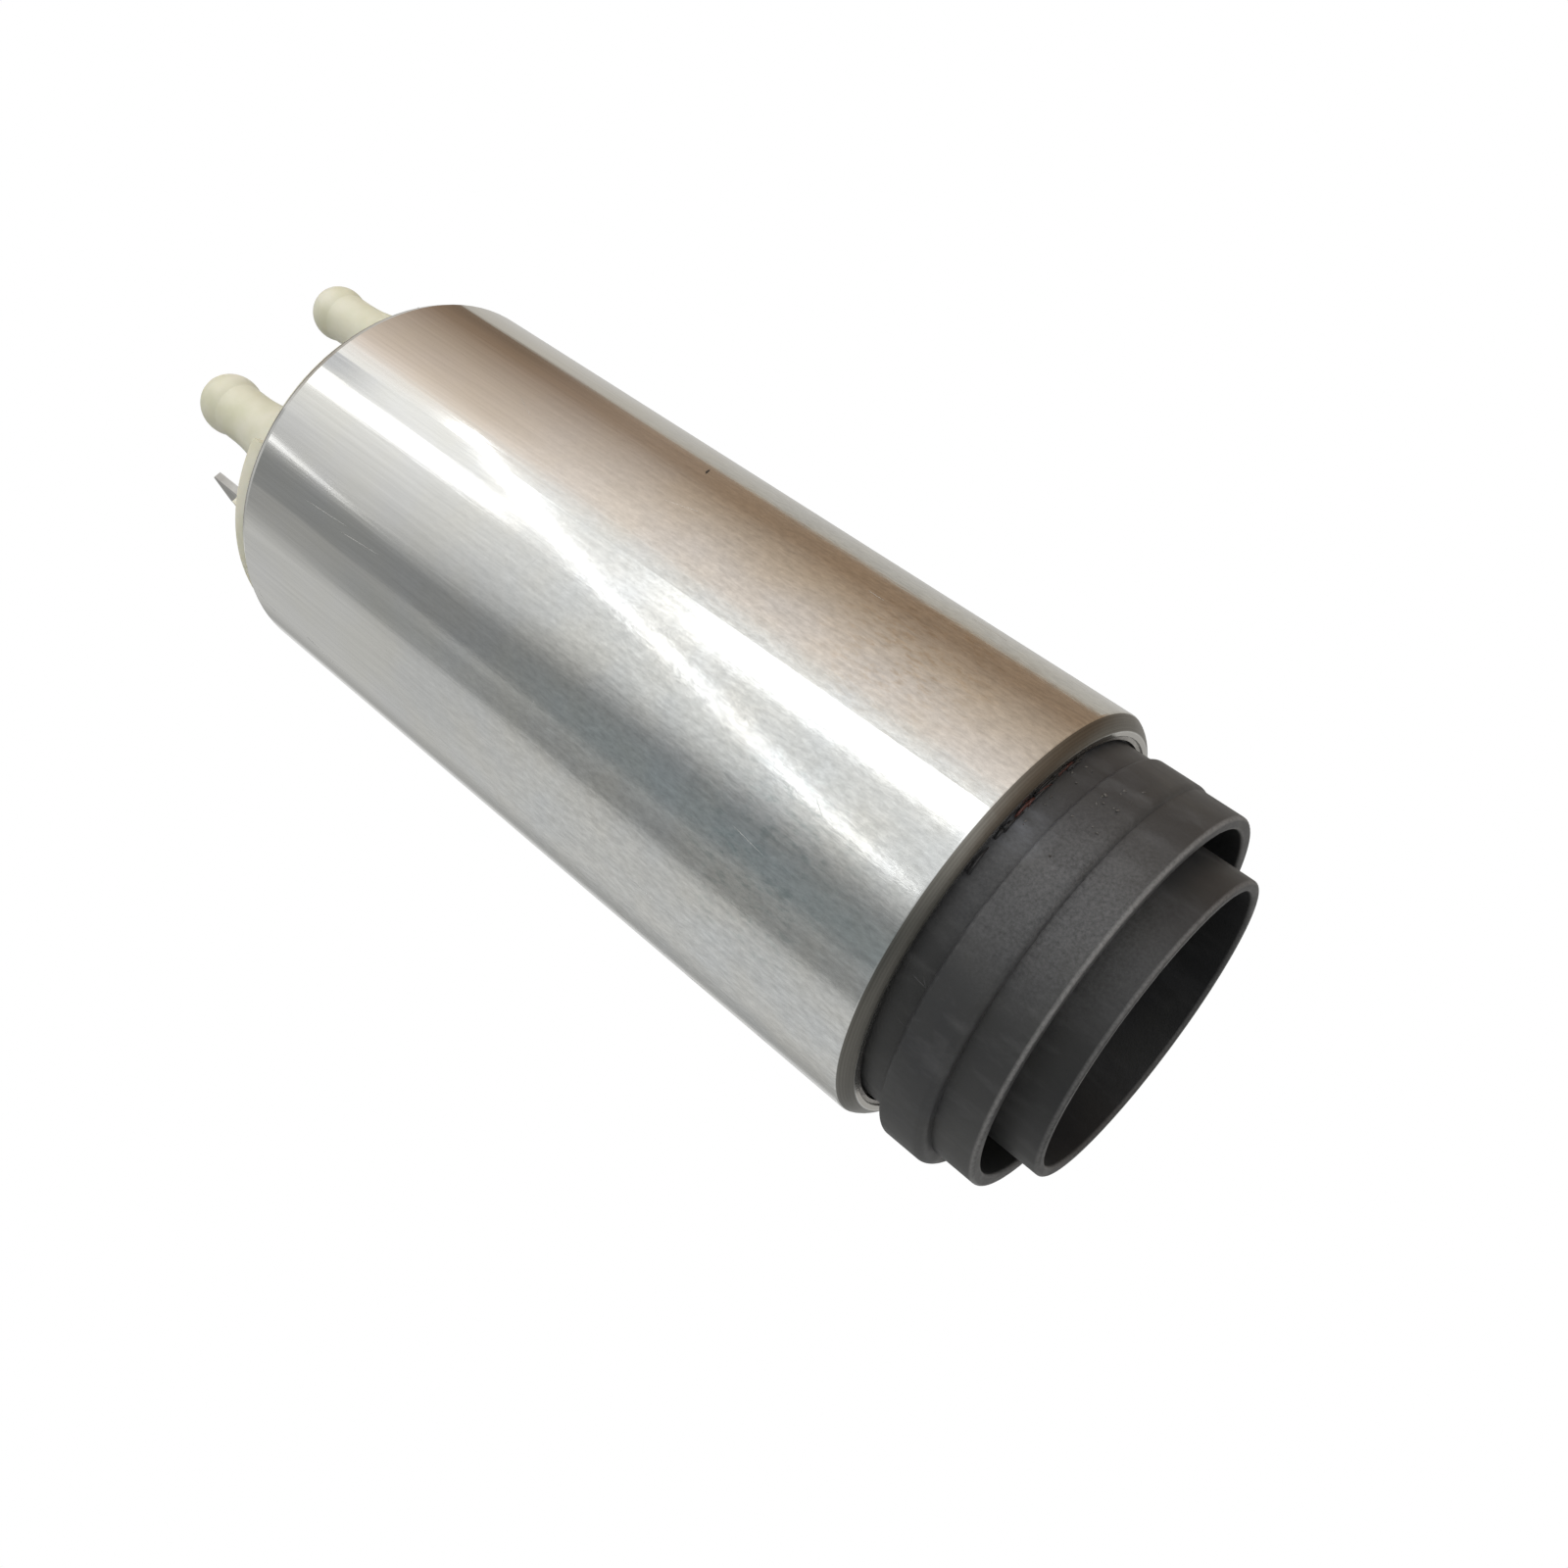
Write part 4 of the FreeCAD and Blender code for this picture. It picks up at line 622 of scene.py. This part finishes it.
def springs():
    """Copies of the deforming coils, each with its own mesh and hung on the housing, in place of
    the CAD ones, which are hidden.
    """
    for joint in frame["joints"]:
        for row in joint.get("deforming_nodes", ()):
            name = row["node"]
            data = frame["nodes"][name].data.copy()
            finish = data.materials[0]
            data.materials.clear()
            coil = mesh_object(name + "_coil", data, finish)
            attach(coil, "housing")
            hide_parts(name)
            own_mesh(coil)


def panel_cover(graph, turn, lift, edges, elevations):
    """How far a tent panel covers each place: 1 inside it, fading to 0 past its edges."""
    first, last, soft_first, soft_last = edges
    low, high, soft = elevations
    half = (last - first) / 2
    away = graph.math("SUBTRACT", turn, first + half)
    away = graph.add("ShaderNodeMath", {0: away, 1: 180.0, 2: -180.0}, operation="WRAP").outputs[0]
    cover = graph.math("MULTIPLY", graph.spread(away, -half - soft_first, -half),
                       graph.spread(away, half + soft_last, half))
    if low > -90:
        cover = graph.math("MULTIPLY", cover, graph.spread(lift, low - soft, low))
    if high < 90:
        cover = graph.math("MULTIPLY", cover, graph.spread(lift, high + soft, high))
    return cover


def tent_material():
    """Light tent whose panels differ round the compass, as boards and windows round a table."""
    graph = Graph("tent")
    parts = graph.split(graph.point())
    turn = graph.math("DEGREES", graph.math("ARCTAN2", parts["Y"], parts["X"]))
    sine = graph.math("DIVIDE", parts["Z"], TENT_RADIUS)
    lift = graph.math("DEGREES", graph.math("ARCSINE", sine))
    colour = TENT_BASE
    for rows, blend_type in ((TENT_PANELS, "MIX"), (TENT_SHADES, "MULTIPLY")):
        for _, first, last, soft_first, soft_last, elevations, panel_colour in rows:
            edges = (first, last, soft_first, soft_last)
            cover = panel_cover(graph, turn, lift, edges, elevations)
            colour = graph.blend(cover, colour, panel_colour, blend_type)
    return graph.glow(colour, TENT_STRENGTH)


def light_tent():
    """Sphere round the table that only reflections and soft light see."""
    shape = bmesh.new()
    bmesh.ops.create_uvsphere(shape, u_segments=96, v_segments=48, radius=TENT_RADIUS)
    data = bpy.data.meshes.new("light_tent")
    shape.to_mesh(data)
    shape.free()
    tent = mesh_object("light_tent", data, tent_material())
    tent.visible_camera = False
    tent.visible_shadow = False
    return tent


def glowing(name, spots, faces, strength):
    """Bright white mesh that reflections and soft light see, and the camera doesn't."""
    data = bpy.data.meshes.new(name)
    data.from_pydata(spots, [], faces)
    thing = mesh_object(name, data, Graph(name).glow(WHITE, strength))
    thing.visible_camera = False
    return thing


def card(name, corners, strength):
    """Flat glowing card through the given sky corners."""
    spots = [direction(*corner) * CARD_RADIUS for corner in corners]
    return glowing(name, spots, [tuple(range(len(spots)))], strength)


def tube_lamp():
    """Narrow bent strip of light that crosses the sky at a slant."""
    spots = []
    for azimuth, elevation, width in TUBE_LAMP:
        for side in (-1, 1):
            spots.append(direction(azimuth + side * width / 2, elevation) * CARD_RADIUS)
    faces = [(k, k + 1, k + 3, k + 2) for k in range(0, len(spots) - 2, 2)]
    return glowing("tube_lamp", spots, faces, TUBE_STRENGTH)


def studio_cards():
    """The lamps and windows whose reflections streak the can."""
    return (tube_lamp(), *(card(*row) for row in CARDS))


def floor_material():
    """Pale floor that fades to the white page and can't be seen from below."""
    graph = Graph("floor")
    point = graph.point()
    reach = graph.add("ShaderNodeVectorMath", {0: point}, operation="LENGTH").outputs["Value"]
    fade = graph.spread(reach, *FLOOR_FADE, smooth=True)
    surface = graph.add("ShaderNodeBsdfDiffuse", {"Color": FLOOR_COLOUR})
    page = graph.add("ShaderNodeEmission", {"Color": WHITE, "Strength": 1.0})
    rays = graph.add("ShaderNodeLightPath").outputs
    seen = graph.math("MAXIMUM", rays["Is Camera Ray"], rays["Is Glossy Ray"])
    seen = graph.math("MAXIMUM", seen, rays["Is Transmission Ray"])
    faded = graph.add("ShaderNodeMixShader", {0: graph.math("MULTIPLY", fade, seen)})
    graph.links.new(surface.outputs["BSDF"], faded.inputs[1])
    graph.links.new(page.outputs["Emission"], faded.inputs[2])
    under = graph.add("ShaderNodeNewGeometry").outputs["Backfacing"]
    clear = graph.add("ShaderNodeBsdfTransparent")
    both = graph.add("ShaderNodeMixShader", {0: under})
    graph.links.new(faded.outputs["Shader"], both.inputs[1])
    graph.links.new(clear.outputs["BSDF"], both.inputs[2])
    return graph.close(both.outputs["Shader"])


def floor():
    shape = bmesh.new()
    bmesh.ops.create_circle(shape, cap_ends=True, segments=96, radius=FLOOR_RADIUS)
    data = bpy.data.meshes.new("floor")
    shape.to_mesh(data)
    shape.free()
    ground = mesh_object("floor", data, floor_material())
    ground.visible_glossy = False
    ground.visible_shadow = False
    return ground


def lamp(name, azimuth, elevation, reach, size, power):
    """Square soft lamp aimed at the pump's middle, left out of reflections."""
    data = bpy.data.lights.new(name, "AREA")
    data.size = size
    data.energy = power
    thing = bpy.data.objects.new(name, data)
    middle = sum((Vector(corner) for corner in cad_box), Vector()) / 2
    back = direction(azimuth, elevation)
    thing.location = middle + back * reach
    thing.rotation_mode = "QUATERNION"
    thing.rotation_quaternion = back.to_track_quat("Z", "Y")
    thing.visible_glossy = False
    bpy.context.scene.collection.objects.link(thing)


def world():
    page = bpy.data.worlds.new("page")
    page.use_nodes = True
    background = page.node_tree.nodes["Background"]
    background.inputs["Color"].default_value = (*WHITE, 1.0)
    background.inputs["Strength"].default_value = 1.0
    bpy.context.scene.world = page


def camera():
    data = bpy.data.cameras.new("photograph")
    data.lens = CAMERA_LENS
    data.sensor_width = CAMERA_SENSOR
    data.clip_start = 1 * MM
    thing = bpy.data.objects.new("photograph", data)
    turn = Matrix((CAMERA_RIGHT, CAMERA_UP, CAMERA_RIGHT.cross(CAMERA_UP))).transposed()
    thing.matrix_world = Matrix.Translation(CAMERA_PLACE) @ turn.to_4x4()
    bpy.context.scene.collection.objects.link(thing)
    bpy.context.scene.camera = thing


def studio():
    world()
    light_tent()
    floor()
    studio_cards()
    for row in LAMPS:
        lamp(*row)
    camera()
    bpy.context.scene.view_settings.view_transform = "Standard"


paint_nodes()
cap_scratches()
can_scratches()
neck_burrs()
rib_crumbs()
springs()
studio()
